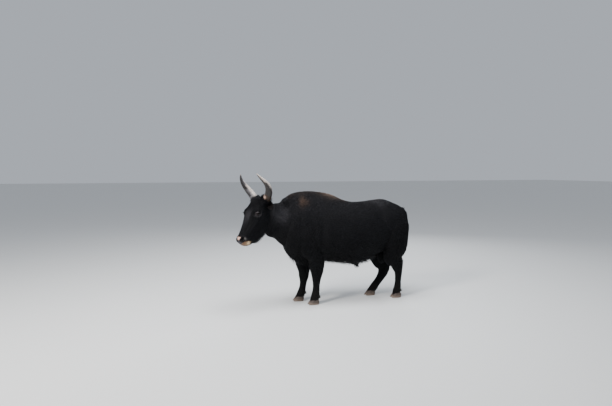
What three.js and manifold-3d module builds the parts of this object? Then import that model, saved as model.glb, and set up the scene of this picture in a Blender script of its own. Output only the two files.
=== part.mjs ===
// A yak bull in a short summer coat, standing still on four feet, life-size, in millimetres.
// +X is the way it faces, +Y is its left side and +Z is up. The floor is z = 0.
// Each part of the body is a loft: closed rings of named sizes, set along a line. Locks of hair are
// small lofts too, joined to what they grow from. Parts that touch are cut clear of one another, so
// that they meet face to face with a hairline gap.

import * as THREE from "three";
import { mergeVertices } from "three/addons/utils/BufferGeometryUtils.js";
import Module from "manifold-3d";

const wasm = await Module();
wasm.setup();

// Driving dimensions, in millimetres and degrees.
const HUMP_HEIGHT = 1350;
const HEAD_LENGTH = 580;
const HEAD_YAW = 33;
const HEAD_PITCH = 49;
const HEAD_ROLL = 3;
const POLL = { x: 597, y: 60, z: 1249 };
const HOOF_HEIGHT = 62;
const EYE = { x: 219, y: 100, z: 43, radius: 22 };
const GAP = 0.3;

// Sides of the rings, and the rings from one station of a loft to the next.
const TORSO_SIDES = 26;
const NECK_SIDES = 20;
const HEAD_SIDES = 22;
const LEG_SIDES = 10;
const SMALL_SIDES = 10;
const LOCK_SIDES = 4;
const CLAW_SIDES = 10;
const DEWCLAW_SIDES = 6;
const LID_SIDES = 5;
const STEPS = 2;

const X = new THREE.Vector3(1, 0, 0);
const Y = new THREE.Vector3(0, 1, 0);
const Z = new THREE.Vector3(0, 0, 1);
const SIDES = { left: 1, right: -1 };
const radians = THREE.MathUtils.degToRad;
const clamp = THREE.MathUtils.clamp;

// The value of one named size at place t along a list of stations, on a smooth curve through them.
function sizeAt(stations, name, t) {
  const last = stations.length - 1;
  const i = Math.min(Math.floor(t), last - 1);
  const f = t - i;
  const [a, b, c, d] = [i - 1, i, i + 1, i + 2].map((k) => stations[clamp(k, 0, last)][name]);
  const slope = (c - a) * f;
  const bend = (2 * a - 5 * b + 4 * c - d) * f * f;
  const twist = (3 * b - a - 3 * c + d) * f * f * f;
  return 0.5 * (2 * b + slope + bend + twist);
}

// All the named sizes at place t.
function stationAt(stations, t) {
  return Object.fromEntries(Object.keys(stations[0]).map((name) => [name, sizeAt(stations, name, t)]));
}

// The ring at place t of a body that runs along X: its top, its widest level and its low edge are
// heights. The powers square or sharpen the upper and the lower half.
function bodyRing(stations, t, grow = 0) {
  const s = stationAt(stations, t);
  return {
    centre: new THREE.Vector3(s.x, 0, s.wide),
    across: Y,
    up: Z,
    out: s.half + grow,
    inn: s.half + grow,
    top: s.top - s.wide + grow,
    low: s.wide - s.low + grow,
    topPower: s.ridge,
    lowPower: s.keel,
  };
}

// The ring at place t of a limb or a horn: it stands square to a curved line, and its reaches go
// out, in, to the front (or up) and to the rear (or down).
const GLANCE = 0.2;

function limbRing(stations, t, side, grow = 0) {
  const last = stations.length - 1;
  const s = stationAt(stations, t);
  const ahead = stationAt(stations, clamp(t + GLANCE, 0, last));
  const behind = stationAt(stations, clamp(t - GLANCE, 0, last));
  const along = new THREE.Vector3(ahead.x - behind.x, ahead.y - behind.y, ahead.z - behind.z).normalize();
  const across = side.clone().addScaledVector(along, -side.dot(along)).normalize();
  const endGrow = t === 0 ? -grow : t === last ? grow : 0;
  return {
    centre: new THREE.Vector3(s.x, s.y, s.z).addScaledVector(along, endGrow),
    across,
    up: along.clone().cross(across),
    out: (s.out ?? s.radius) + grow,
    inn: (s.inn ?? s.out ?? s.radius) + grow,
    top: (s.front ?? s.radius) + grow,
    low: (s.rear ?? s.front ?? s.radius) + grow,
    topPower: 2,
    lowPower: s.keel ?? 2,
  };
}

// One point of a ring.
function ringPoint(ring, angle) {
  const c = Math.cos(angle);
  const s = Math.sin(angle);
  const power = 2 / (s >= 0 ? ring.topPower : ring.lowPower);
  const across = Math.sign(c) * Math.abs(c) ** power * (c >= 0 ? ring.out : ring.inn);
  const up = Math.sign(s) * Math.abs(s) ** power * (s >= 0 ? ring.top : ring.low);
  return ring.centre.clone().addScaledVector(ring.across, across).addScaledVector(ring.up, up);
}

// A closed body through rings, with a fan at each end.
function loft(rings, sides) {
  const points = rings.flatMap((ring) =>
    Array.from({ length: sides }, (_, k) => ringPoint(ring, (k / sides) * 2 * Math.PI)),
  );
  const triangles = [];
  for (let r = 0; r + 1 < rings.length; r++) {
    for (let k = 0; k < sides; k++) {
      const a = r * sides + k;
      const b = r * sides + ((k + 1) % sides);
      triangles.push(a, b, b + sides, a, b + sides, a + sides);
    }
  }
  const firstHub = points.push(rings[0].centre.clone()) - 1;
  const lastHub = points.push(rings.at(-1).centre.clone()) - 1;
  const lastRow = (rings.length - 1) * sides;
  for (let k = 0; k < sides; k++) {
    const next = (k + 1) % sides;
    triangles.push(firstHub, next, k, lastHub, lastRow + k, lastRow + next);
  }
  return facingOut(points, triangles);
}

function facingOut(points, triangles) {
  let volume = 0;
  for (let i = 0; i < triangles.length; i += 3) {
    const [a, b, c] = [points[triangles[i]], points[triangles[i + 1]], points[triangles[i + 2]]];
    volume += a.dot(b.clone().cross(c));
  }
  if (volume < 0) triangles.reverse();
  return new THREE.BufferGeometry().setFromPoints(points).setIndex(triangles);
}

// Between geometries and solids that can be joined and cut.
function solid(geometry) {
  const bare = new THREE.BufferGeometry().setAttribute("position", geometry.getAttribute("position"));
  bare.setIndex(geometry.index);
  const merged = mergeVertices(bare, 1e-3);
  const vertProperties = merged.attributes.position.array;
  const triVerts = new Uint32Array(merged.index.array);
  return new wasm.Manifold(new wasm.Mesh({ numProp: 3, vertProperties, triVerts }));
}

function geometryOf(made) {
  const whole = made.decompose().reduce((a, b) => (a.volume() > b.volume() ? a : b));
  const mesh = whole.getMesh();
  return new THREE.BufferGeometry()
    .setAttribute("position", new THREE.BufferAttribute(mesh.vertProperties, 3))
    .setIndex(new THREE.BufferAttribute(mesh.triVerts, 1));
}

const join = (...solids) => wasm.Manifold.union(solids);
const cut = (made, ...others) => others.reduce((left, other) => left.subtract(other), made);
const placed = (geometry, matrix) => geometry.clone().applyMatrix4(matrix);

const evenPlaces = (stations) =>
  Array.from({ length: (stations.length - 1) * STEPS + 1 }, (_, i) => i / STEPS);
const bodyLoft = (stations, sides, grow) =>
  loft(evenPlaces(stations).map((t) => bodyRing(stations, t, grow)), sides);
const limbLoft = (stations, sides, side, grow) =>
  loft(evenPlaces(stations).map((t) => limbRing(stations, t, side, grow)), sides);

// An ellipsoid with a reach along each axis.
function swell({ x, y, z, along, across, up }) {
  return new THREE.SphereGeometry(1, 10, 6).scale(along, across, up).translate(x, y, z);
}

// A seeded random number from 0 to 1.
let seed = 20;
function random() {
  seed = (seed * 48271) % 2147483647;
  return seed / 2147483647;
}
const vary = (value, share) => value * (1 + share * (2 * random() - 1));

// A point of a lofted surface with its outward normal. ringAt gives the ring at place t.
function spotOn(ringAt, t, angle) {
  const step = 0.02;
  const point = ringPoint(ringAt(t), angle);
  const onward = ringPoint(ringAt(t + step), angle).sub(point);
  const around = ringPoint(ringAt(t), angle + step).sub(point);
  const normal = onward.cross(around).normalize();
  const outward = point.clone().sub(ringAt(t).centre);
  return { point, normal: normal.dot(outward) < 0 ? normal.negate() : normal };
}

// A lock of hair: flat and tapered, its root sunk in the body. It leaves along lie, which is turned
// out of the surface by lift, and bends towards hang.
const LOCK_TAPER = [
  { at: 0, width: 0.9, thick: 1.0 },
  { at: 0.55, width: 1.0, thick: 0.8 },
  { at: 1, width: 0.14, thick: 0.25 },
];
const ROOT_DEPTH = 14;

function lock({ spot, lie, lift, hang, length, width, thick }) {
  const flat = lie.clone().addScaledVector(spot.normal, -lie.dot(spot.normal)).normalize();
  const along = flat.addScaledVector(spot.normal, lift).normalize();
  const across = along.clone().cross(spot.normal).normalize();
  const root = spot.point.clone().addScaledVector(spot.normal, -ROOT_DEPTH);
  const centreAt = (f) =>
    root.clone().addScaledVector(along, length * f).addScaledVector(hang, length * f * f);
  const rings = LOCK_TAPER.map((taper) => {
    const ahead = centreAt(taper.at + 0.1).sub(centreAt(taper.at - 0.1)).normalize();
    return {
      centre: centreAt(taper.at),
      across,
      up: ahead.cross(across).normalize(),
      out: (width / 2) * taper.width,
      inn: (width / 2) * taper.width,
      top: (thick / 2) * taper.thick,
      low: (thick / 2) * taper.thick,
      topPower: 2,
      lowPower: 2,
    };
  });
  return solid(loft(rings, LOCK_SIDES));
}

// Rows of locks over a lofted surface: rows and each row's count, with angles in degrees.
const ROW_SCATTER = 4;

function coat({ ringAt, rows, lieAt, lift, hang, length, width, thick }) {
  return rows.flatMap(({ from, to, angle, count, shift = 0 }) =>
    Array.from({ length: count }, (_, i) => {
      const t = from + ((to - from) * (i + 0.5 + shift)) / count;
      const around = angle + ROW_SCATTER * (random() - 0.5);
      const spot = spotOn(ringAt, t, radians(around));
      const lie = lieAt(spot, around);
      const size = { length: vary(length, 0.15), width: vary(width, 0.1), thick };
      return lock({ spot, lie, lift: vary(lift, 0.3), hang, ...size });
    }),
  );
}

// The torso, from the rump to the front of the chest: the back line, the level at which it is
// widest, the belly line and half of its width. The hump's ridge is narrower than an ellipse.
const TORSO = [
  { x: -1278, top: 985, wide: 930, low: 880, half: 45, ridge: 2.0, keel: 2.0 },
  { x: -1258, top: 1070, wide: 935, low: 800, half: 124, ridge: 2.0, keel: 2.0 },
  { x: -1190, top: 1145, wide: 945, low: 690, half: 198, ridge: 2.0, keel: 2.0 },
  { x: -1078, top: 1196, wide: 960, low: 605, half: 230, ridge: 2.1, keel: 2.0 },
  { x: -950, top: 1236, wide: 940, low: 575, half: 244, ridge: 2.1, keel: 2.1 },
  { x: -825, top: 1231, wide: 850, low: 533, half: 268, ridge: 2.0, keel: 2.2 },
  { x: -680, top: 1215, wide: 790, low: 482, half: 300, ridge: 2.0, keel: 2.2 },
  { x: -530, top: 1214, wide: 775, low: 468, half: 318, ridge: 2.0, keel: 2.2 },
  { x: -400, top: 1246, wide: 770, low: 482, half: 318, ridge: 1.8, keel: 2.1 },
  { x: -260, top: 1306, wide: 775, low: 500, half: 298, ridge: 1.65, keel: 2.0 },
  { x: -110, top: 1339, wide: 785, low: 506, half: 268, ridge: 1.6, keel: 1.9 },
  { x: 40, top: HUMP_HEIGHT, wide: 795, low: 496, half: 242, ridge: 1.6, keel: 1.8 },
  { x: 170, top: 1339, wide: 810, low: 506, half: 222, ridge: 1.7, keel: 1.8 },
  { x: 265, top: 1308, wide: 850, low: 572, half: 190, ridge: 1.8, keel: 1.9 },
  { x: 325, top: 1262, wide: 910, low: 672, half: 140, ridge: 1.9, keel: 2.0 },
  { x: 350, top: 1180, wide: 960, low: 800, half: 70, ridge: 2.0, keel: 2.0 },
];

// The neck runs from inside the shoulders to inside the head, and bends to the animal's left.
// Its lower edge is drawn in to a dewlap.
const NECK = [
  { x: 150, y: 0, z: 985, front: 240, rear: 320, out: 195, keel: 1.9 },
  { x: 290, y: 3, z: 985, front: 251, rear: 297, out: 165, keel: 1.8 },
  { x: 400, y: 14, z: 1000, front: 226, rear: 212, out: 134, keel: 1.7 },
  { x: 490, y: 34, z: 1025, front: 195, rear: 176, out: 118, keel: 1.7 },
  { x: 565, y: 60, z: 1040, front: 148, rear: 136, out: 92, keel: 1.8 },
];

// The head in its own frame: x from the poll to the muzzle, z out of the forehead.
const HEAD = [
  { x: -44, top: 14, wide: -30, low: -80, half: 55, ridge: 2.2, keel: 2.0 },
  { x: -26, top: 50, wide: -15, low: -130, half: 86, ridge: 2.4, keel: 2.0 },
  { x: 30, top: 82, wide: 12, low: -190, half: 110, ridge: 2.5, keel: 2.0 },
  { x: 110, top: 97, wide: 20, low: -228, half: 112, ridge: 2.4, keel: 2.2 },
  { x: 200, top: 99, wide: 36, low: -243, half: 118, ridge: 2.4, keel: 2.3 },
  { x: 268, top: 88, wide: 6, low: -240, half: 104, ridge: 2.4, keel: 2.4 },
  { x: 345, top: 71, wide: -16, low: -230, half: 92, ridge: 2.3, keel: 2.4 },
  { x: 425, top: 56, wide: -22, low: -208, half: 79, ridge: 2.3, keel: 2.4 },
  { x: 490, top: 45, wide: -26, low: -163, half: 71, ridge: 2.2, keel: 2.5 },
  { x: 535, top: 40, wide: -27, low: -138, half: 73, ridge: 2.3, keel: 2.6 },
  { x: 562, top: 26, wide: -27, low: -114, half: 63, ridge: 2.3, keel: 2.4 },
  { x: HEAD_LENGTH, top: 4, wide: -30, low: -70, half: 40, ridge: 2.0, keel: 2.0 },
];

// The forelegs, each from inside the shoulder to the top of the hoof. The right one stands a
// little ahead of the left.
const FORELEG_LEFT = [
  { z: 1030, x: 10, y: 118, front: 90, rear: 110, out: 78, inn: 60 },
  { z: 900, x: 50, y: 128, front: 150, rear: 175, out: 108, inn: 70 },
  { z: 770, x: 55, y: 136, front: 165, rear: 190, out: 112, inn: 70 },
  { z: 660, x: 0, y: 140, front: 160, rear: 152, out: 100, inn: 66 },
  { z: 560, x: -36, y: 132, front: 112, rear: 108, out: 78, inn: 60 },
  { z: 450, x: -46, y: 122, front: 96, rear: 87, out: 60, inn: 54 },
  { z: 370, x: -48, y: 115, front: 73, rear: 71, out: 54, inn: 52 },
  { z: 300, x: -43, y: 113, front: 54, rear: 55, out: 44, inn: 44 },
  { z: 210, x: -41, y: 112, front: 42, rear: 43, out: 37, inn: 37 },
  { z: 130, x: -34, y: 112, front: 48, rear: 50, out: 45, inn: 45 },
  { z: 85, x: -24, y: 112, front: 54, rear: 56, out: 50, inn: 50 },
  { z: 42, x: -14, y: 112, front: 54, rear: 52, out: 52, inn: 52 },
];

const FORELEG_RIGHT = [
  { z: 1030, x: 20, y: 118, front: 90, rear: 110, out: 78, inn: 60 },
  { z: 900, x: 68, y: 128, front: 150, rear: 175, out: 108, inn: 70 },
  { z: 770, x: 90, y: 134, front: 160, rear: 190, out: 112, inn: 70 },
  { z: 660, x: 62, y: 134, front: 155, rear: 155, out: 100, inn: 66 },
  { z: 560, x: 54, y: 124, front: 116, rear: 116, out: 78, inn: 60 },
  { z: 450, x: 54, y: 114, front: 92, rear: 98, out: 60, inn: 54 },
  { z: 370, x: 50, y: 108, front: 66, rear: 77, out: 52, inn: 50 },
  { z: 300, x: 48, y: 105, front: 60, rear: 66, out: 50, inn: 48 },
  { z: 225, x: 54, y: 103, front: 44, rear: 46, out: 37, inn: 37 },
  { z: 150, x: 66, y: 102, front: 42, rear: 44, out: 42, inn: 42 },
  { z: 95, x: 82, y: 102, front: 50, rear: 54, out: 48, inn: 48 },
  { z: 42, x: 108, y: 102, front: 52, rear: 50, out: 50, inn: 50 },
];

// The hind legs, each from inside the hip to the top of the hoof. The right one is stepping
// forwards, so its cannon leans.
const HINDLEG_LEFT = [
  { z: 1060, x: -1060, y: 115, front: 110, rear: 120, out: 76, inn: 60 },
  { z: 930, x: -1060, y: 130, front: 165, rear: 196, out: 108, inn: 80 },
  { z: 790, x: -1065, y: 136, front: 175, rear: 188, out: 112, inn: 84 },
  { z: 650, x: -1075, y: 140, front: 168, rear: 156, out: 100, inn: 78 },
  { z: 530, x: -1050, y: 138, front: 140, rear: 116, out: 74, inn: 62 },
  { z: 455, x: -1090, y: 130, front: 96, rear: 98, out: 56, inn: 52 },
  { z: 395, x: -1112, y: 122, front: 72, rear: 78, out: 48, inn: 46 },
  { z: 320, x: -1132, y: 116, front: 50, rear: 52, out: 40, inn: 40 },
  { z: 215, x: -1132, y: 112, front: 39, rear: 40, out: 36, inn: 36 },
  { z: 130, x: -1126, y: 110, front: 45, rear: 46, out: 43, inn: 43 },
  { z: 85, x: -1116, y: 109, front: 52, rear: 52, out: 48, inn: 48 },
  { z: 42, x: -1112, y: 108, front: 54, rear: 50, out: 50, inn: 50 },
];

const HINDLEG_RIGHT = [
  { z: 1060, x: -1060, y: 115, front: 110, rear: 120, out: 76, inn: 60 },
  { z: 930, x: -1045, y: 130, front: 165, rear: 210, out: 108, inn: 80 },
  { z: 790, x: -1025, y: 136, front: 175, rear: 205, out: 112, inn: 84 },
  { z: 650, x: -1000, y: 138, front: 172, rear: 165, out: 100, inn: 78 },
  { z: 530, x: -992, y: 134, front: 158, rear: 116, out: 74, inn: 62 },
  { z: 430, x: -1018, y: 126, front: 128, rear: 104, out: 58, inn: 52 },
  { z: 345, x: -1046, y: 118, front: 92, rear: 88, out: 50, inn: 46 },
  { z: 275, x: -1030, y: 111, front: 68, rear: 70, out: 42, inn: 40 },
  { z: 200, x: -982, y: 106, front: 52, rear: 52, out: 38, inn: 38 },
  { z: 135, x: -926, y: 103, front: 48, rear: 50, out: 42, inn: 42 },
  { z: 88, x: -886, y: 101, front: 50, rear: 52, out: 47, inn: 47 },
  { z: 42, x: -850, y: 100, front: 52, rear: 50, out: 49, inn: 49 },
];
const FETLOCK = 10;

// The four legs, and the side of the body that each is on.
const LEGS = {
  foreleg_left: { stations: FORELEG_LEFT, side: 1 },
  foreleg_right: { stations: FORELEG_RIGHT, side: -1 },
  hindleg_left: { stations: HINDLEG_LEFT, side: 1 },
  hindleg_right: { stations: HINDLEG_RIGHT, side: -1 },
};

// The stations of one leg, mirrored for the right side.
function legStations({ stations, side }) {
  if (side > 0) return stations;
  return stations.map((s) => ({ ...s, y: -s.y, out: s.inn, inn: s.out }));
}

// One of the two claws of a hoof, from its top down to its flat sole. Front, rear and width are
// shares of its length and its half width.
const CLAW_LENGTH = 128;
const CLAW_HALF_WIDTH = 23;
const CLAW_OFFSET = 28;
const CLAW = [
  { z: HOOF_HEIGHT, x: -6, front: 0.24, rear: 0.3, width: 0.68 },
  { z: 48, x: -2, front: 0.34, rear: 0.42, width: 0.9 },
  { z: 28, x: 4, front: 0.42, rear: 0.47, width: 0.98 },
  { z: 6, x: 10, front: 0.52, rear: 0.47, width: 1.0 },
  { z: 0, x: 10, front: 0.5, rear: 0.45, width: 0.96 },
];

function claw(foot, side, grow = 0) {
  const rings = CLAW.map((s, i) => {
    const endGrow = i === 0 ? grow : i === CLAW.length - 1 ? -grow : 0;
    const reach = CLAW_HALF_WIDTH * s.width + grow;
    return {
      centre: new THREE.Vector3(foot.x + s.x, foot.y + side * CLAW_OFFSET, s.z + endGrow),
      across: Y,
      up: X,
      out: reach,
      inn: reach,
      top: CLAW_LENGTH * s.front + grow,
      low: CLAW_LENGTH * s.rear + grow,
      topPower: 1.7,
      lowPower: 2.2,
    };
  });
  return solid(loft(rings, CLAW_SIDES));
}

// A dewclaw behind a fetlock: a short blunt cone that points down and back.
const DEWCLAW = [
  { reach: -14, radius: 9 },
  { reach: 0, radius: 14 },
  { reach: 18, radius: 12 },
  { reach: 30, radius: 5 },
];
const DEWCLAW_SPREAD = 21;
const DEWCLAW_RISE = 14;
const DEWCLAW_LEAN = radians(68);
const DEWCLAW_SINK = 9;

function dewclaw(fetlock, side, grow = 0) {
  const stations = DEWCLAW.map((s) => ({
    x: fetlock.x - fetlock.rear + DEWCLAW_SINK - s.reach * Math.cos(DEWCLAW_LEAN),
    y: fetlock.y + side * DEWCLAW_SPREAD,
    z: fetlock.z + DEWCLAW_RISE - s.reach * Math.sin(DEWCLAW_LEAN),
    radius: s.radius,
  }));
  const rings = stations.map((_, i) => limbRing(stations, i, Y, grow));
  return solid(loft(rings, DEWCLAW_SIDES));
}

// A horn in the head's frame: out from the poll, then up and forwards, its tip turned in.
const HORN = [
  { x: 20, y: 64, z: 20, radius: 46 },
  { x: -5, y: 109, z: 44, radius: 45 },
  { x: -36, y: 148, z: 88, radius: 42 },
  { x: -56, y: 175, z: 138, radius: 38 },
  { x: -69, y: 188, z: 197, radius: 31 },
  { x: -75, y: 180, z: 254, radius: 23 },
  { x: -84, y: 157, z: 312, radius: 15 },
  { x: -97, y: 131, z: 356, radius: 5 },
];

// An ear in the head's frame: a pointed leaf that stands out sideways and hangs. It is scooped out
// on its outer face. The scoop is a smaller leaf, moved out of the first one.
const EAR = [
  { x: 22, y: 84, z: -4, out: 24, front: 20 },
  { x: 40, y: 114, z: -18, out: 36, front: 19 },
  { x: 60, y: 142, z: -30, out: 42, front: 15 },
  { x: 84, y: 166, z: -36, out: 32, front: 11 },
  { x: 106, y: 186, z: -38, out: 8, front: 4 },
];
const SCOOP = { width: 0.72, depth: 0.7, shift: 11 };

const mirrored = (stations, side) => stations.map((s) => ({ ...s, y: side * s.y }));

function ear(side) {
  const stations = mirrored(EAR, side);
  const scoop = stations.slice(1, -1).map((s) => ({
    ...s,
    y: s.y + side * SCOOP.shift,
    z: s.z + SCOOP.shift,
    out: s.out * SCOOP.width,
    front: s.front * SCOOP.depth,
  }));
  return cut(solid(limbLoft(stations, SMALL_SIDES, X)), solid(limbLoft(scoop, SMALL_SIDES, X)));
}

// The eyelids: two ridges round the open part of the eye, from corner to corner.
const LIDS = {
  upper: { rise: 0.95, radius: 7 },
  lower: { rise: -0.8, radius: 5 },
};
const LID_STEPS = 4;
const LID_REACH = 1.2;
const LID_TAPER = 0.35;
const GAZE = { x: 0.18, y: 0.95, z: 0.25 };

function lid({ rise, radius }, side) {
  const gaze = new THREE.Vector3(GAZE.x, side * GAZE.y, GAZE.z).normalize();
  const centre = new THREE.Vector3(EYE.x, side * EYE.y, EYE.z);
  const stations = Array.from({ length: LID_STEPS + 1 }, (_, i) => {
    const u = (2 * i) / LID_STEPS - 1;
    const arch = rise * (1 - u * u);
    const to = gaze.clone().addScaledVector(X, LID_REACH * u).addScaledVector(Z, arch).normalize();
    const spot = centre.clone().addScaledVector(to, EYE.radius + 1);
    return { x: spot.x, y: spot.y, z: spot.z, radius: radius * (1 - LID_TAPER * u * u) };
  });
  return solid(loft(stations.map((_, i) => limbRing(stations, i, gaze)), LID_SIDES));
}

// Swellings of the head: the brow over each eye, the chin with its lower lip, and round each nostril.
const BROW = { x: 200, y: 78, z: 60, along: 70, across: 33, up: 30 };
const CHIN = { x: 520, y: 0, z: -126, along: 50, across: 56, up: 27 };
const NOSTRIL_RIM = { x: 544, y: 42, z: 4, along: 28, across: 28, up: 26 };
const NOSTRIL = { x: 569, y: 49, z: 6, along: 30, across: 16, up: 13 };
const NOSTRIL_TURN = { y: -0.35, z: 0.5 };

function nostril(side) {
  const { along, across, up } = NOSTRIL;
  return new THREE.SphereGeometry(1, 10, 8)
    .scale(along, across, up)
    .rotateY(NOSTRIL_TURN.y)
    .rotateZ(side * NOSTRIL_TURN.z)
    .translate(NOSTRIL.x, side * NOSTRIL.y, NOSTRIL.z);
}

// The line of the mouth: a narrow slot round the muzzle, no deeper than the lips.
const MOUTH = { front: 600, corner: 448, z: -76, open: 5, depth: 9, slope: radians(3) };

function mouth(muzzle) {
  const length = MOUTH.front - MOUTH.corner;
  const slab = new THREE.BoxGeometry(length, 4 * EYE.y, MOUTH.open)
    .translate(-length / 2, 0, 0)
    .rotateY(MOUTH.slope)
    .translate(MOUTH.front, 0, MOUTH.z);
  return cut(solid(slab), muzzle);
}

// The tail hangs from the top of the rump. Its core thins out among the locks of its brush.
const TAIL = [
  { x: -1222, y: 0, z: 1118, front: 34, rear: 30, out: 40 },
  { x: -1258, y: 0, z: 1068, front: 32, rear: 30, out: 38 },
  { x: -1284, y: 0, z: 1000, front: 29, rear: 27, out: 35 },
  { x: -1286, y: 0, z: 890, front: 28, rear: 25, out: 34 },
  { x: -1246, y: 2, z: 770, front: 26, rear: 23, out: 34 },
  { x: -1206, y: 4, z: 640, front: 22, rear: 20, out: 30 },
  { x: -1197, y: 6, z: 540, front: 10, rear: 10, out: 14 },
];

// The sheath and the scrotum are part of the belly.
const SHEATH = [
  { x: -440, y: 0, z: 515, front: 40, rear: 26, out: 40 },
  { x: -520, y: 0, z: 488, front: 46, rear: 34, out: 40 },
  { x: -585, y: 0, z: 455, front: 38, rear: 28, out: 29 },
  { x: -620, y: 0, z: 428, front: 16, rear: 14, out: 14 },
];
const SCROTUM = { x: -955, y: 0, z: 500, along: 56, across: 58, up: 84 };

const HIDE = new THREE.MeshStandardMaterial({ color: 0x17161a, roughness: 0.8, metalness: 0 });
const HORN_FINISH = new THREE.MeshStandardMaterial({ color: 0x8d867e, roughness: 0.45, metalness: 0 });
const HOOF_FINISH = new THREE.MeshStandardMaterial({ color: 0x8a7a68, roughness: 0.55, metalness: 0 });
const EYE_FINISH = new THREE.MeshStandardMaterial({ color: 0x0d0a0a, roughness: 0.1, metalness: 0 });

const model = new THREE.Group();
const body = new THREE.Group();
const head = new THREE.Group();
model.add(body);
body.add(head);
head.position.set(POLL.x, POLL.y, POLL.z);
head.rotation.set(radians(HEAD_ROLL), radians(HEAD_PITCH), radians(HEAD_YAW), "ZYX");
head.updateMatrix();

function addPart(group, name, made, material) {
  const mesh = new THREE.Mesh(geometryOf(made), material);
  mesh.name = name;
  group.add(mesh);
}

const torsoRoom = solid(bodyLoft(TORSO, TORSO_SIDES, GAP));
const headRoom = solid(bodyLoft(HEAD, HEAD_SIDES, GAP));
const headRoomOnBody = solid(placed(bodyLoft(HEAD, HEAD_SIDES, GAP), head.matrix));
const neckRoom = limbLoft(NECK, NECK_SIDES, Y, GAP);
const neckRoomOnHead = solid(placed(neckRoom, head.matrix.clone().invert()));

// The neck.
const neck = solid(limbLoft(NECK, NECK_SIDES, Y));
addPart(body, "neck", cut(neck, torsoRoom, headRoomOnBody), HIDE);

// The legs, with their claws and dewclaws.
const legRooms = [];
for (const [name, leg] of Object.entries(LEGS)) {
  const stations = legStations(leg);
  const foot = stations.at(-1);
  let flesh = cut(solid(limbLoft(stations, LEG_SIDES, Y)), torsoRoom);
  legRooms.push(solid(limbLoft(stations, LEG_SIDES, Y, GAP)));
  for (const [word, side] of [["inner", -leg.side], ["outer", leg.side]]) {
    addPart(body, `claw_${name}_${word}`, claw(foot, side), HOOF_FINISH);
    addPart(body, `dewclaw_${name}_${word}`, dewclaw(stations[FETLOCK], side), HOOF_FINISH);
    flesh = cut(flesh, claw(foot, side, GAP), dewclaw(stations[FETLOCK], side, GAP));
  }
  addPart(body, name, flesh, HIDE);
}

// The torso, with a short fringe along the belly and the brisket, and a tuft on the sheath.
const BACK_AND_DOWN = new THREE.Vector3(-0.62, 0, -0.78);
const DROOP = new THREE.Vector3(-0.05, 0, -0.16);
const fringe = coat({
  ringAt: (t) => bodyRing(TORSO, t),
  rows: [
    { from: 4.4, to: 13.4, angle: -90, count: 10 },
    { from: 4.4, to: 13.6, angle: -66, count: 10, shift: 0.3 },
    { from: 4.4, to: 13.6, angle: -114, count: 10, shift: -0.3 },
  ],
  lieAt: () => BACK_AND_DOWN,
  lift: 0.19,
  hang: DROOP,
  length: 150,
  width: 112,
  thick: 24,
});
const sheathTuft = coat({
  ringAt: (t) => limbRing(SHEATH, t, Y),
  rows: [
    { from: 1.8, to: 2.9, angle: -90, count: 2 },
    { from: 2.2, to: 2.9, angle: -20, count: 1 },
    { from: 2.2, to: 2.9, angle: -160, count: 1 },
  ],
  lieAt: () => BACK_AND_DOWN,
  lift: 0.1,
  hang: DROOP,
  length: 52,
  width: 26,
  thick: 12,
});
const sheath = solid(limbLoft(SHEATH, SMALL_SIDES, Y));
const trunk = solid(bodyLoft(TORSO, TORSO_SIDES));
const hair = cut(join(...fringe, ...sheathTuft), solid(neckRoom), ...legRooms);
addPart(body, "torso", join(trunk, sheath, solid(swell(SCROTUM)), hair), HIDE);

// The tail, with its brush of long locks.
const brush = coat({
  ringAt: (t) => limbRing(TAIL, t, Y),
  rows: [0, 90, 180, 270].map((angle, i) => ({
    from: 3.0 + 0.35 * (i % 2),
    to: 5.9,
    angle,
    count: 4,
  })),
  lieAt: () => Z.clone().negate(),
  lift: 0.24,
  hang: new THREE.Vector3(0.1, 0, -0.1),
  length: 178,
  width: 66,
  thick: 28,
});
const tail = join(solid(limbLoft(TAIL, SMALL_SIDES, Y)), ...brush);
addPart(body, "tail", cut(tail, torsoRoom, ...legRooms), HIDE);

// The head, with its ears, horns and eyes, a curly tuft on the poll and hair under the jaw.
const skull = solid(bodyLoft(HEAD, HEAD_SIDES));
const pollTuft = coat({
  ringAt: (t) => bodyRing(HEAD, t),
  rows: [
    { from: 0.6, to: 3.4, angle: 90, count: 4 },
    { from: 0.9, to: 3.0, angle: 76, count: 3 },
    { from: 0.9, to: 3.0, angle: 104, count: 3 },
  ],
  lieAt: (spot, angle) => X.clone().addScaledVector(Y, 1.2 * Math.cos(radians(angle))),
  lift: 0.55,
  hang: new THREE.Vector3(0.3, 0, -0.3),
  length: 96,
  width: 58,
  thick: 24,
});
const beard = coat({
  ringAt: (t) => bodyRing(HEAD, t),
  rows: [
    { from: 4.0, to: 8.6, angle: -90, count: 4 },
    { from: 3.8, to: 8.2, angle: -62, count: 3 },
    { from: 3.8, to: 8.2, angle: -118, count: 3 },
  ],
  lieAt: () => X.clone().multiplyScalar(-1).addScaledVector(Z, -0.6),
  lift: 0.22,
  hang: new THREE.Vector3(0, 0, -0.1),
  length: 96,
  width: 84,
  thick: 26,
});
const features = [solid(swell(CHIN)), ...pollTuft, ...beard];
const rooms = [neckRoomOnHead];
const hollows = [mouth(solid(bodyLoft(HEAD, HEAD_SIDES, -MOUTH.depth)))];
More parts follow.
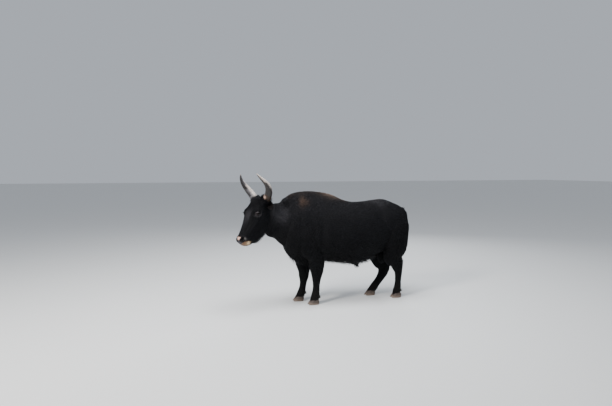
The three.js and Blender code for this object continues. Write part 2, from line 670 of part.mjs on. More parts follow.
for (const [word, side] of Object.entries(SIDES)) {
  const earRoom = solid(limbLoft(mirrored(EAR, side), SMALL_SIDES, X, GAP));
  const hornStations = mirrored(HORN, side);
  const horn = solid(limbLoft(hornStations, SMALL_SIDES, X));
  const place = new THREE.Matrix4().makeTranslation(EYE.x, side * EYE.y, EYE.z);
  const ball = (radius) => solid(placed(new THREE.SphereGeometry(radius, 12, 8), place));
  addPart(head, `horn_${word}`, cut(horn, headRoom, earRoom), HORN_FINISH);
  addPart(head, `ear_${word}`, cut(ear(side), headRoom), HIDE);
  addPart(head, `eye_${word}`, ball(EYE.radius), EYE_FINISH);
  rooms.push(earRoom, solid(limbLoft(hornStations, SMALL_SIDES, X, GAP)));
  hollows.push(ball(EYE.radius + GAP), solid(nostril(side)));
  features.push(lid(LIDS.upper, side), lid(LIDS.lower, side));
  for (const bump of [BROW, NOSTRIL_RIM]) {
    features.push(solid(swell({ ...bump, y: side * bump.y })));
  }
}
const outgrowths = cut(join(...features), ...rooms);
addPart(head, "head", cut(join(skull, outgrowths), ...hollows), HIDE);

// The model's origin is on the floor, under the middle of its box.
model.updateMatrixWorld(true);
const box = new THREE.Box3().setFromObject(model, true);
body.position.set(-(box.min.x + box.max.x) / 2, -(box.min.y + box.max.y) / 2, -box.min.z);

export default model;
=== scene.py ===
# %% [markdown]
# # A yak bull in his summer coat
#
# This scene dresses a life-size yak bull that stands on four feet with his head turned to his left.
# The frame gives the coarse solids of every part. They fix the size and the pose. Here they get one
# smooth skin, a short black coat made of many thousands of small tufts, longer locks where a yak has
# them, and horns, hooves, eyes and a pale wet nose.
#
# Lengths in the tables are in millimetres, as an animal is measured, and MM turns them into metres.

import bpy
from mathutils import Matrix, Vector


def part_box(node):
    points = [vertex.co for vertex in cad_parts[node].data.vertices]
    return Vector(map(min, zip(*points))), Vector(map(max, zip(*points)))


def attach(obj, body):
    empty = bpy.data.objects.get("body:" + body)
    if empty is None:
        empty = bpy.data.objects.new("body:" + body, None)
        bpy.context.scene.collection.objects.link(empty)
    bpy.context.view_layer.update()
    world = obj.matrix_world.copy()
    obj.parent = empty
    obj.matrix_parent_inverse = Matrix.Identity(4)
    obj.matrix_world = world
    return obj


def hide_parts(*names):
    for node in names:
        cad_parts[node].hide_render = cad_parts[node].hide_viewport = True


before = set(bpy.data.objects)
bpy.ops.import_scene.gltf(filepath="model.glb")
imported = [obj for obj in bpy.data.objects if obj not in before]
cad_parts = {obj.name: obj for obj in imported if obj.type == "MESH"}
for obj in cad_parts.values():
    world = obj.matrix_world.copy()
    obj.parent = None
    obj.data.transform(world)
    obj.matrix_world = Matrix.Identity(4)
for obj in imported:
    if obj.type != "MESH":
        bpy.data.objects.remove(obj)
print(len(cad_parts), "nodes in the frame")

import math

import bmesh
import bpy
import numpy as np
from mathutils import Matrix, Vector
from mathutils.bvhtree import BVHTree

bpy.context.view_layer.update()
MM = 0.001
rng = np.random.default_rng(27)

# %% [markdown]
# ## The sizes of the body
#
# Each part is a row of stations with named sizes, the same that the solids have. The skin is drawn
# from them again instead of from the solids' facets, because curves through few stations give a
# smooth surface at any fineness. The skin lies inside the solids by the depth of the short coat.

# %% Sizes of the trunk, neck and head
COAT_DEPTH = 6 * MM
SHIN_COAT_DEPTH = 1 * MM

# x, back line, widest level, belly line, half width, power of the ridge, power of the keel
TORSO = [
    (-1278, 985, 930, 880, 45, 2.0, 2.0),
    (-1258, 1070, 935, 800, 124, 2.0, 2.0),
    (-1190, 1145, 945, 690, 198, 2.0, 2.0),
    (-1078, 1196, 960, 605, 230, 2.1, 2.0),
    (-950, 1236, 940, 575, 244, 2.1, 2.1),
    (-825, 1231, 850, 533, 268, 2.0, 2.2),
    (-680, 1215, 790, 482, 300, 2.0, 2.2),
    (-530, 1214, 775, 468, 318, 2.0, 2.2),
    (-400, 1246, 770, 482, 318, 1.8, 2.1),
    (-260, 1306, 775, 500, 298, 1.65, 2.0),
    (-110, 1339, 785, 506, 268, 1.6, 1.9),
    (40, 1350, 795, 496, 242, 1.6, 1.8),
    (170, 1339, 810, 506, 222, 1.7, 1.8),
    (265, 1308, 850, 572, 190, 1.8, 1.9),
    (325, 1262, 910, 672, 140, 1.9, 2.0),
    (350, 1180, 960, 800, 70, 2.0, 2.0),
]
# In the head's own frame: x from the poll to the muzzle, z out of the forehead.
HEAD = [
    (-44, 14, -30, -80, 55, 2.2, 2.0),
    (-26, 50, -15, -130, 86, 2.4, 2.0),
    (30, 82, 12, -190, 110, 2.5, 2.0),
    (110, 97, 20, -228, 112, 2.4, 2.2),
    (200, 99, 36, -243, 118, 2.4, 2.3),
    (268, 88, 6, -240, 104, 2.4, 2.4),
    (345, 71, -16, -230, 92, 2.3, 2.4),
    (425, 56, -22, -208, 79, 2.3, 2.4),
    (490, 45, -26, -163, 71, 2.2, 2.5),
    (535, 40, -27, -138, 73, 2.3, 2.6),
    (562, 26, -27, -114, 63, 2.3, 2.4),
    (580, 4, -30, -70, 40, 2.0, 2.0),
]
# x, y, z, reach to the front or up, to the rear or down, out, in
NECK = [
    (150, 0, 985, 240, 320, 195, 195),
    (290, 3, 985, 251, 297, 165, 165),
    (400, 14, 1000, 226, 212, 134, 134),
    (490, 34, 1025, 195, 176, 118, 118),
    (565, 60, 1040, 148, 136, 92, 92),
]
TAIL = [
    (-1222, 0, 1118, 34, 30, 40, 40),
    (-1258, 0, 1068, 32, 30, 38, 38),
    (-1284, 0, 1000, 29, 27, 35, 35),
    (-1286, 0, 890, 28, 25, 34, 34),
    (-1246, 2, 770, 26, 23, 34, 34),
    (-1206, 4, 640, 22, 20, 30, 30),
    (-1197, 6, 540, 10, 10, 14, 14),
]
SHEATH = [
    (-440, 0, 515, 40, 26, 40, 40),
    (-520, 0, 488, 46, 34, 40, 40),
    (-585, 0, 455, 38, 28, 29, 29),
    (-620, 0, 428, 16, 14, 14, 14),
]
SCROTUM = [
    (-955, 0, 580, 20, 20, 22, 22),
    (-955, 0, 545, 50, 50, 50, 50),
    (-955, 0, 500, 56, 56, 58, 58),
    (-955, 0, 450, 48, 48, 50, 50),
    (-955, 0, 418, 14, 14, 16, 16),
]

# %% Sizes of the legs
# x, y, z, reach to the front, to the rear, out and in; the right legs too are written as left ones
FORELEG_LEFT = [
    (10, 118, 1030, 90, 110, 78, 60),
    (50, 128, 900, 150, 175, 108, 70),
    (55, 136, 770, 165, 190, 112, 70),
    (0, 140, 660, 160, 152, 100, 66),
    (-36, 132, 560, 112, 108, 78, 60),
    (-46, 122, 450, 96, 87, 60, 54),
    (-48, 115, 370, 73, 71, 54, 52),
    (-43, 113, 300, 54, 55, 44, 44),
    (-41, 112, 210, 42, 43, 37, 37),
    (-34, 112, 130, 48, 50, 45, 45),
    (-24, 112, 85, 54, 56, 50, 50),
    (-14, 112, 42, 54, 52, 52, 52),
]
FORELEG_RIGHT = [
    (20, 118, 1030, 90, 110, 78, 60),
    (68, 128, 900, 150, 175, 108, 70),
    (90, 134, 770, 160, 190, 112, 70),
    (62, 134, 660, 155, 155, 100, 66),
    (54, 124, 560, 116, 116, 78, 60),
    (54, 114, 450, 92, 98, 60, 54),
    (50, 108, 370, 66, 77, 52, 50),
    (48, 105, 300, 60, 66, 50, 48),
    (54, 103, 225, 44, 46, 37, 37),
    (66, 102, 150, 42, 44, 42, 42),
    (82, 102, 95, 50, 54, 48, 48),
    (108, 102, 42, 52, 50, 50, 50),
]
HINDLEG_LEFT = [
    (-1060, 115, 1060, 110, 120, 76, 60),
    (-1060, 130, 930, 165, 196, 108, 80),
    (-1065, 136, 790, 175, 188, 112, 84),
    (-1075, 140, 650, 168, 156, 100, 78),
    (-1050, 138, 530, 140, 116, 74, 62),
    (-1090, 130, 455, 96, 98, 56, 52),
    (-1112, 122, 395, 72, 78, 48, 46),
    (-1132, 116, 320, 50, 52, 40, 40),
    (-1132, 112, 215, 39, 40, 36, 36),
    (-1126, 110, 130, 45, 46, 43, 43),
    (-1116, 109, 85, 52, 52, 48, 48),
    (-1112, 108, 42, 54, 50, 50, 50),
]
HINDLEG_RIGHT = [
    (-1060, 115, 1060, 110, 120, 76, 60),
    (-1045, 130, 930, 165, 210, 108, 80),
    (-1025, 136, 790, 175, 205, 112, 84),
    (-1000, 138, 650, 172, 165, 100, 78),
    (-992, 134, 530, 158, 116, 74, 62),
    (-1018, 126, 430, 128, 104, 58, 52),
    (-1046, 118, 345, 92, 88, 50, 46),
    (-1030, 111, 275, 68, 70, 42, 40),
    (-982, 106, 200, 52, 52, 38, 38),
    (-926, 103, 135, 48, 50, 42, 42),
    (-886, 101, 88, 50, 52, 47, 47),
    (-850, 100, 42, 52, 50, 49, 49),
]


def mirrored(rows):
    """The stations of a leg on the right side, from ones written for the left."""
    return [(x, -y, z, front, rear, inn, out) for x, y, z, front, rear, out, inn in rows]


LEGS = {
    "foreleg_left": FORELEG_LEFT,
    "foreleg_right": mirrored(FORELEG_RIGHT),
    "hindleg_left": HINDLEG_LEFT,
    "hindleg_right": mirrored(HINDLEG_RIGHT),
}
SIDES = {"left": 1, "right": -1}
FETLOCK = 10


# The frame stands with its origin under the middle of its box, so the body is moved along X.
SHIFT = np.array([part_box("torso")[0].x - TORSO[0][0] * MM, 0, 0])
print("the body is moved by", round(SHIFT[0], 4), "m")

# %% [markdown]
# ## Where the head is
#
# The head has a frame of its own, with its origin at the poll. Features of the face are easier to
# place there than in the room: forwards is down the nose and up is out of the forehead.

# %% The head's frame
POLL = (597, 60, 1249)
HEAD_YAW, HEAD_PITCH, HEAD_ROLL = 33, 49, 3

turn = (
    Matrix.Rotation(math.radians(HEAD_YAW), 3, "Z")
    @ Matrix.Rotation(math.radians(HEAD_PITCH), 3, "Y")
    @ Matrix.Rotation(math.radians(HEAD_ROLL), 3, "X")
)
HEAD_TURN = np.array(turn)
HEAD_ORIGIN = np.array(POLL) * MM + SHIFT


def from_head(points):
    """Points of the head's frame, in metres, in the room."""
    return np.asarray(points) @ HEAD_TURN.T + HEAD_ORIGIN


def to_head(points):
    """Points of the room in the head's frame."""
    return (np.asarray(points) - HEAD_ORIGIN) @ HEAD_TURN


print("the muzzle is at", from_head([0.58, 0, -0.02]).round(3))

# %% [markdown]
# ## Lofts
#
# A loft is a tube whose section changes along its way. Blender's own curve bevel keeps one section,
# so the rings are worked out here: a smooth curve through the stations gives the sizes between them,
# and each ring is an ellipse whose two halves may differ in height and in roundness.

# %% Rings and lofts
def smooth_rows(rows, steps):
    """Rows between the given ones, on a smooth curve through them."""
    rows = np.asarray(rows, float)
    last = len(rows) - 1
    t = np.linspace(0, last, last * steps + 1)
    i = np.minimum(t.astype(int), last - 1)
    f = (t - i)[:, None]
    a, b, c, d = (rows[np.clip(i + k, 0, last)] for k in (-1, 0, 1, 2))
    bend = (2 * a - 5 * b + 4 * c - d) * f**2
    twist = (3 * b - a - 3 * c + d) * f**3
    return 0.5 * (2 * b + (c - a) * f + bend + twist)


def unit(vectors):
    length = np.linalg.norm(vectors, axis=-1, keepdims=True)
    return vectors / np.maximum(length, 1e-9)


def rings(centre, across, up, reach, powers, sides):
    """Points of rings: reach is out, in, top and low, and powers are of the top and the low half."""
    angle = np.arange(sides) / sides * 2 * math.pi
    c, s = np.cos(angle), np.sin(angle)
    out, inn, top, low = (np.asarray(r, float)[:, None] for r in reach)
    ridge, keel = (2 / np.asarray(p, float)[:, None] for p in powers)
    power = np.where(s >= 0, ridge, keel)
    sideways = np.sign(c) * np.abs(c) ** power * np.where(c >= 0, out, inn)
    upwards = np.sign(s) * np.abs(s) ** power * np.where(s >= 0, top, low)
    return centre[:, None] + sideways[..., None] * across[:, None] + upwards[..., None] * up[:, None]


def body_rings(rows, sides, steps, grow=0.0):
    """Rings of a body that runs along X."""
    x, top, wide, low, half, ridge, keel = smooth_rows(rows, steps).T
    x, top, wide, low, half = (v * MM for v in (x, top, wide, low, half))
    centre = np.stack([x, 0 * x, wide], 1)
    across = np.tile([0.0, 1.0, 0.0], (len(x), 1))
    up = np.tile([0.0, 0.0, 1.0], (len(x), 1))
    reach = (half + grow, half + grow, top - wide + grow, wide - low + grow)
    return rings(centre, across, up, reach, (ridge, keel), sides)


def limb_rings(rows, sides, steps, hint=(0, 1, 0), grow=0.0):
    """Rings that stand square to a curved line."""
    sizes = smooth_rows(rows, steps) * MM
    centre = sizes[:, :3]
    along = unit(np.gradient(centre, axis=0))
    across = np.asarray(hint, float) - (along @ np.asarray(hint, float))[:, None] * along
    across = unit(across)
    up = np.cross(along, across)
    front, rear, out, inn = (sizes[:, k] + grow for k in range(3, 7))
    round_power = np.full(len(sizes), 2.0)
    reach = (out, inn, front, rear)
    return rings(centre, across, up, reach, (round_power, round_power), sides)


def grid_faces(count, sides, first=0):
    """The faces between rings, and a cap at each end."""
    r, k = np.meshgrid(np.arange(count - 1), np.arange(sides), indexing="ij")
    a = first + r * sides + k
    b = first + r * sides + (k + 1) % sides
    quads = np.stack([a, b, b + sides, a + sides], -1).reshape(-1, 4).tolist()
    head_cap = list(range(first + sides - 1, first - 1, -1))
    tail_cap = list(range(first + (count - 1) * sides, first + count * sides))
    return quads + [head_cap, tail_cap]


def in_scene(name, data):
    """An object of the scene that shows a mesh, a light or a camera."""
    thing = bpy.data.objects.new(name, data)
    bpy.context.scene.collection.objects.link(thing)
    return thing


def object_from(name, points, faces):
    """A mesh object with its faces turned outwards."""
    mesh = bpy.data.meshes.new(name)
    mesh.from_pydata(np.asarray(points).tolist(), [], faces)
    bm = bmesh.new()
    bm.from_mesh(mesh)
    bmesh.ops.recalc_face_normals(bm, faces=bm.faces)
    bm.to_mesh(mesh)
    bm.free()
    for polygon in mesh.polygons:
        polygon.use_smooth = True
    return in_scene(name, mesh)


def loft(name, grid):
    """One closed object from a grid of rings."""
    return object_from(name, grid.reshape(-1, 3), grid_faces(*grid.shape[:2]))


# %% [markdown]
# ## The skin in one piece
#
# A living animal has no seam where a leg meets the trunk. The lofts of all parts are put in one mesh,
# and a voxel remesh turns them into a single closed skin. Sculpting would do the same, but it can't
# be repeated by a script. A few rounds of smoothing then round off the creases, as muscle does.

# %% Lofts of the whole body
def on_body(points):
    return points + SHIFT


parts = {
    "torso": on_body(body_rings(TORSO, 96, 8, -COAT_DEPTH)),
    "neck": on_body(limb_rings(NECK, 72, 8, grow=-COAT_DEPTH)),
    "head": from_head(body_rings(HEAD, 72, 8, -COAT_DEPTH)),
}
for name, rows in (("tail", TAIL), ("sheath", SHEATH), ("scrotum", SCROTUM)):
    parts[name] = on_body(limb_rings(rows, 32, 6, grow=-COAT_DEPTH))
# The hair is shortest on the shin, and the skin draws in again above the claws.
SHIN_HEIGHTS = (60, 130, 400, 600)
SHIN_DEPTHS = (COAT_DEPTH, SHIN_COAT_DEPTH, SHIN_COAT_DEPTH, COAT_DEPTH)
for leg, rows in LEGS.items():
    depth = np.interp(smooth_rows(rows, 6)[:, 2], SHIN_HEIGHTS, SHIN_DEPTHS)
    parts[leg] = on_body(limb_rings(rows, 40, 6, grow=-depth))
PART_NAMES = list(parts)
PART = {name: i for i, name in enumerate(PART_NAMES)}

points, faces, face_part = [], [], []
for name, grid in parts.items():
    faces += grid_faces(*grid.shape[:2], first=sum(len(p) for p in points))
    points.append(grid.reshape(-1, 3))
    face_part += [PART[name]] * (len(faces) - len(face_part))
points = np.concatenate(points)
face_part = np.array(face_part)
loft_tree = BVHTree.FromPolygons(points.tolist(), faces)
print(len(parts), "lofts with", len(faces), "faces")

# %% Remesh and smooth
VOXEL = 9 * MM

skin = object_from("skin", points, faces)
remesh = skin.modifiers.new("voxels", "REMESH")
remesh.mode = "VOXEL"
remesh.voxel_size = VOXEL
remesh.use_smooth_shade = True
soften = skin.modifiers.new("soften", "SMOOTH")
soften.factor = 0.5
soften.iterations = 8


def apply_modifiers(thing):
    """Keeps the shape that the modifiers give, and removes them."""
    depsgraph = bpy.context.evaluated_depsgraph_get()
    made = bpy.data.meshes.new_from_object(thing.evaluated_get(depsgraph))
    thing.modifiers.clear()
    thing.data = made


apply_modifiers(skin)
print("skin has", len(skin.data.vertices), "vertices")

# %% [markdown]
# ## A finer face
#
# Nine millimetres between points is enough for the flank, but not for lids, lips and nostrils. The
# faces of the head are cut in two each way, and those of the muzzle and round the eyes once more.
# A finer remesh of the whole animal would spend most of its faces where nothing happens.

# %% Cut the faces of the head finer
EYE = np.array([219, 100, 43]) * MM
HEAD_REACH_OUT, HEAD_REACH_DOWN, HEAD_REACH_UP = 0.14, 0.26, 0.14
MUZZLE_FROM = 0.42
ROUND_EYE = 0.06


def coordinates(thing):
    co = np.empty(len(thing.data.vertices) * 3, np.float32)
    thing.data.vertices.foreach_get("co", co)
    return co.reshape(-1, 3).astype(float)


def part_of(points):
    """The part whose loft is nearest to each point."""
    nearest = [loft_tree.find_nearest(p)[2] for p in points.tolist()]
    return face_part[np.array(nearest)]


def refine(thing, wanted):
    """Cuts the edges in two wherever both ends are wanted."""
    bm = bmesh.new()
    bm.from_mesh(thing.data)
    bm.verts.ensure_lookup_table()
    edges = [e for e in bm.edges if wanted[e.verts[0].index] and wanted[e.verts[1].index]]
    bmesh.ops.subdivide_edges(bm, edges=edges, cuts=1, use_grid_fill=True)
    bm.to_mesh(thing.data)
    bm.free()
    return len(edges)


def relax(thing, weight, rounds):
    """Moves each point towards the middle of its neighbours, by its weight."""
    edges = np.empty(len(thing.data.edges) * 2, np.int32)
    thing.data.edges.foreach_get("vertices", edges)
    a, b = edges.reshape(-1, 2).T
    co = coordinates(thing)
    count = np.bincount(a, minlength=len(co)) + np.bincount(b, minlength=len(co))
    for _ in range(rounds):
        for axis in range(3):
            total = np.bincount(a, co[b, axis], len(co)) + np.bincount(b, co[a, axis], len(co))
            co[:, axis] += weight * (total / np.maximum(count, 1) - co[:, axis])
    thing.data.vertices.foreach_set("co", co.astype(np.float32).ravel())
    thing.data.update()


def to_left(q):
    """Points of the head's frame, with those of the right side mirrored to the left."""
    return q * [1, 0, 1] + np.abs(q) * [0, 1, 0]


def in_head_box(q, rear):
    """Whether points of the head's frame are round the head, ahead of a place behind the poll."""
    level = (q[:, 2] > -HEAD_REACH_DOWN) & (q[:, 2] < HEAD_REACH_UP)
    return (q[:, 0] > rear) & (np.abs(q[:, 1]) < HEAD_REACH_OUT) & level


def near_face_detail(q):
    """Whether points of the head's frame are on the muzzle or round an eye."""
    return (q[:, 0] > MUZZLE_FROM) | (np.linalg.norm(to_left(q) - EYE, axis=1) < ROUND_EYE)


co = coordinates(skin)
refine(skin, (part_of(co) == PART["head"]) & (to_head(co)[:, 0] > -0.05))
q = to_head(coordinates(skin))
refine(skin, in_head_box(q, -0.05) & near_face_detail(q))
inside = in_head_box(to_head(coordinates(skin)), -0.04)
relax(skin, 0.5 * inside, 4)
print("skin has", len(skin.data.vertices), "vertices")

# %% [markdown]
# ## Muscle, bone and folds
#
# The coat is short, so the forms under it show: the shoulder blade, the hollow of the flank, the hip
# bones, and on the head the brow, the cheek and the hollows round the eyes. Each is a swelling or a
# hollow with a middle, three radii and a height, pushed along the normals of the skin.

# %% Swellings and hollows
# x, y, z, radius along x, y and z, height; the ones off the middle are made on both sides
BODY_FORMS = [
    (120, 210, 960, 60, 90, 190, 9),
    (20, 220, 800, 80, 90, 90, 10),
    (-90, 240, 860, 50, 90, 200, -9),
    (230, 150, 830, 60, 80, 110, 8),
    (-860, 240, 1040, 70, 90, 110, -14),
    (-925, 185, 1165, 60, 60, 45, 13),
    (-1240, 110, 1075, 45, 50, 45, 12),
    (-1110, 180, 1120, 80, 60, 50, -7),
    (-985, 235, 800, 90, 90, 160, 9),
    (-500, 320, 700, 260, 90, 150, 7),
    (-760, 260, 620, 110, 90, 70, -8),
    (345, 0, 1222, 45, 90, 40, 16),
    (400, 110, 960, 80, 60, 110, 5),
    (520, 55, 872, 70, 60, 55, 18),
    (-30, 190, 540, 60, 50, 90, 7),
]
HEAD_FORMS = [
    (205, 94, 68, 42, 30, 22, 9),
    (219, 120, 43, 25, 30, 19, -10),
    (226, 112, 12, 40, 30, 16, 5),
    (284, 96, 40, 34, 28, 24, -8),
    (150, 108, 44, 36, 30, 24, -8),
    (135, 105, -110, 74, 40, 74, 10),
    (235, 106, -70, 50, 30, 50, 5),
    (330, 92, -14, 90, 26, 15, 8),
    (385, 84, -84, 74, 30, 36, -9),
    (400, 58, 34, 120, 24, 20, -8),
    (545, 58, -2, 34, 28, 27, 9),
    (530, 66, -54, 40, 28, 20, 6),
    (470, 78, -84, 34, 22, 22, -4),
    (516, 0, -146, 42, 44, 22, 6),
    (516, 0, 42, 24, 60, 30, -5),
    (110, 0, 96, 60, 70, 30, 3),
    (300, 0, 94, 80, 30, 22, -4),
    (300, 0, -240, 130, 50, 40, 8),
]


def normals_of(thing):
    normals = np.empty(len(thing.data.vertices) * 3, np.float32)
    thing.data.vertex_normals.foreach_get("vector", normals)
    return normals.reshape(-1, 3).astype(float)


def swell(points, forms):
    """How far each point is pushed out by a list of forms."""
    total = np.zeros(len(points))
    for x, y, z, rx, ry, rz, height in forms:
        for side in (1, -1) if y else (1,):
            away = (points - np.array([x, side * y, z]) * MM) / (np.array([rx, ry, rz]) * MM)
            total += height * MM * np.exp(-np.sum(away**2, axis=1))
    return total


def push(thing, distance):
    co = coordinates(thing) + normals_of(thing) * distance[:, None]
    thing.data.vertices.foreach_set("co", co.astype(np.float32).ravel())
    thing.data.update()


co = coordinates(skin)
push(skin, swell(co - SHIFT, BODY_FORMS))
q = to_head(coordinates(skin))
push(skin, swell(q, HEAD_FORMS) * inside)
print("forms:", len(BODY_FORMS), "on the body and", len(HEAD_FORMS), "on the head")

# %% [markdown]
# ## Mouth and nostrils
#
# The mouth is a groove that runs round the muzzle from corner to corner, with a lip on each side.
# A nostril is a deep pit, long and bent like a comma, with a raised outer rim. Both are pushed into
# the fine skin, so they are real hollows that hold shadow and not only dark paint.

# %% Mouth and nostrils
MOUTH_CORNER = 452 * MM
MOUTH_LEVEL = -76 * MM
MOUTH_SLOPE = 0.05
MOUTH_DEPTH, MOUTH_WIDTH = 8 * MM, 3.2 * MM
LIP_SWELL, LIP_FROM_MOUTH, LIP_WIDTH = 2.5 * MM, 9 * MM, 7 * MM
NOSTRIL = np.array([557, 50, 9]) * MM
NOSTRIL_LEAN = 0.5
NOSTRIL_DEPTH = 26 * MM
NOSTRIL_WAY = np.array([-0.86, 0, -0.35])
RIM_HEIGHT = 2 * MM


def step_up(value, low, high):
    """0 below low, 1 above high, and smooth between them."""
    t = np.clip((value - low) / (high - low), 0, 1)
    return t * t * (3 - 2 * t)


def step_down(value, low, high):
    """1 below low, 0 above high, and smooth between them."""
    return step_up(-value, -high, -low)


def from_mouth_line(q):
    """Height over the line of the mouth, which falls a little towards the front."""
    return q[:, 2] - MOUTH_LEVEL + MOUTH_SLOPE * (q[:, 0] - MOUTH_CORNER)


def groove(distance, width):
    return np.exp(-((distance / width) ** 2))


def nostril_depth(q):
    """0 to 1: how deep a point is in a nostril."""
    x, y, z = (to_left(q) - NOSTRIL).T
    c, s = math.cos(NOSTRIL_LEAN), math.sin(NOSTRIL_LEAN)
    long_way = y * c + z * s
    short_way = -y * s + z * c - 12 * long_way**2
    away = (long_way / (24 * MM)) ** 2 + (short_way / (14 * MM)) ** 2 + (x / (32 * MM)) ** 4
    return np.exp(-(away**1.6))


q = to_head(coordinates(skin))
in_mouth = step_up(q[:, 0], MOUTH_CORNER, MOUTH_CORNER + 14 * MM) * inside
line = from_mouth_line(q)
lips = groove(line - LIP_FROM_MOUTH, LIP_WIDTH) + groove(line + LIP_FROM_MOUTH, LIP_WIDTH)
push(skin, in_mouth * (LIP_SWELL * lips - MOUTH_DEPTH * groove(line, MOUTH_WIDTH)))
co = coordinates(skin)
q = to_head(co)
pit = nostril_depth(q) * inside
rim = np.clip(pit * (1 - pit) * 4, 0, 1)
for side in SIDES.values():
    here = np.sign(q[:, 1]) == side
    way = unit(NOSTRIL_WAY + np.array([0, -0.35 * side, 0])) @ HEAD_TURN.T
    co += (here * pit * NOSTRIL_DEPTH)[:, None] * way
skin.data.vertices.foreach_set("co", co.astype(np.float32).ravel())
skin.data.update()
push(skin, rim * RIM_HEIGHT)
print("nostril points:", int((pit > 0.5).sum()))

# %% [markdown]
# ## Colours of skin and coat
#
# The coat is almost black, with a cool shine. The sun has bleached a brown patch on the hump, and
# the nose and lips are bare, pink and cream. Painted highlights lighten the top of the body, the neck,
# the rump, the nose bridge and the back line, and painted shade darkens the underside, the front of
# the muzzle, the chin and the nostrils. Both the skin and every tuft take their colour from one
# function of place, so that they always agree.

# %% Tone of a place
BLACK = np.array([0.0056, 0.0053, 0.0060])
# painted shade: the black of the underside, which lies in shade
UNDERSIDE_SHADE_BLACK = np.array([0.0030, 0.0028, 0.0030])
# brown of sun-bleached hair, also used as a painted rim highlight along the back line
BLEACHED_BROWN_AND_RIM_HIGHLIGHT = np.array([0.095, 0.060, 0.044])
# painted sheen: a light grey for the top of the body, the crest of the neck, the rump and the nose bridge
PAINTED_SHEEN_GREY = np.array([0.050, 0.047, 0.052])
# painted highlight: a pale rim on the back line
SPINE_RIM_HIGHLIGHT = np.array([0.42, 0.29, 0.21])
PALE_SPOT = np.array([0.16, 0.15, 0.15])
EYE_RING = np.array([0.075, 0.070, 0.074])
INNER_EAR = np.array([0.014, 0.011, 0.011])
HOLLOW_EAR = 1.6 * INNER_EAR
NOSE_PINK = np.array([0.66, 0.43, 0.35])
NOSE_BLACK = np.array([0.006, 0.005, 0.005])
# painted shade: the dark bluish grey of the muzzle's front below the pad
MUZZLE_SHADE_GREY = np.array([0.034, 0.031, 0.038])
WING_GREY = np.array([0.120, 0.108, 0.100])
LIP_BROWN = np.array([0.165, 0.088, 0.050])
# brown of the chin, darkened as painted shade
CHIN_SHADED_BROWN = np.array([0.075, 0.034, 0.016])
LIP_CREAM = np.array([0.74, 0.55, 0.34])
# painted shade inside the nostrils
NOSTRIL_SHADE_BLACK = np.array([0.004, 0.003, 0.003])
LEG_BROWN = np.array([0.013, 0.011, 0.010])


def blotch(points, scale, seed=0):
    """Soft random patches from 0 to 1: a few waves that cross at odd angles."""
    waves = np.random.default_rng(seed).normal(size=(5, 3)) * scale
    phases = np.random.default_rng(seed + 1).uniform(0, 2 * math.pi, 5)
    return 0.5 + 0.5 * np.sin(points @ waves.T + phases).mean(axis=1)


def spot(points, centre, radii):
    away = (points - np.array(centre) * MM) / (np.array(radii) * MM)
    return np.exp(-np.sum(away**2, axis=1))


def nose_zones(points):
    """Zones of bare skin on nose and lips, each a tone and its share at every point."""
    q = to_head(points)
    line = from_mouth_line(q)
    ragged = 6 * MM * (blotch(q, 110, 3) - 0.5)
    x, z = q[:, 0] + ragged, q[:, 2] + ragged
    near = (np.abs(q[:, 1]) < 0.12) & (np.abs(q[:, 2]) < 0.2) & (q[:, 0] < 0.65)
    left = to_left(q)
    round_nostril = np.linalg.norm(left - NOSTRIL + np.array([2, 8, 5]) * MM, axis=1)
    below_poll = HEAD_ORIGIN[2] - points[:, 2] + ragged
    across = np.abs(q[:, 1])
    # painted shade: the front of the muzzle is dark bluish grey, and the pink pad keeps only its upper part,
    # as the lower front lies in shade
    face = step_up(x, 0.546, 0.557) * step_up(line, 0.010, 0.018)
    pad = step_up(x, 0.526, 0.538) * step_down(x, 0.560, 0.572) * step_up(z, 0.010, 0.020)
    pad *= step_down(across, 0.022, 0.036)
    low_face = step_up(-z - 0.6 * np.maximum(0.055 - across, 0), 0.006, 0.026)
    low_face *= step_up(below_poll, 0.420, 0.440)
    # painted shade: the chin under the mouth is a brown darkened for the shade under the muzzle
    chin = step_up(x, 0.508, 0.526) * step_down(line, -0.004, 0.004) * step_up(below_poll, 0.424, 0.438)
    cream = 1.4 * spot(left, (530, 66, -76), (26, 34, 30)) * step_up(below_poll, 0.428, 0.444)
    lip = step_up(x, 0.504, 0.520) * step_down(np.abs(line - 0.007), 0.008, 0.015)
    dark = step_down(round_nostril - 0.4 * ragged, 0.028, 0.034)
    zones = [
        (MUZZLE_SHADE_GREY, face),
        (LIP_BROWN, low_face * step_up(line, -0.006, 0.004)),
        (CHIN_SHADED_BROWN, chin),
        (LIP_BROWN, lip),
        (LIP_CREAM, np.clip(cream, 0, 1)),
        (NOSE_PINK, pad),
        (WING_GREY, spot(left, (528, 74, -4), (17, 16, 20)) * step_up(x, 0.50, 0.52)),
        (NOSE_BLACK, dark),
    ]
    return [(tone, share * near) for tone, share in zones]


def bare_nose(points):
    """1 on the bare skin of nose and lips, 0 where hair grows."""
    return np.clip(np.max([share for _, share in nose_zones(points)], axis=0), 0, 1)


# how far bleached, middle, radii
SUN_PATCHES = [
    (0.85, (158, 112, 1235), (34, 90, 62)),
    (0.40, (100, 112, 1228), (40, 90, 36)),
    (0.35, (100, -110, 1240), (45, 80, 60)),
]


def on_face(q):
    """1 on the head ahead of the ears, 0 on the neck and the trunk."""
    return step_up(q[:, 0], 0.02, 0.12) * step_up(q[:, 2], -0.30, -0.22) * (np.abs(q[:, 1]) < 0.14)


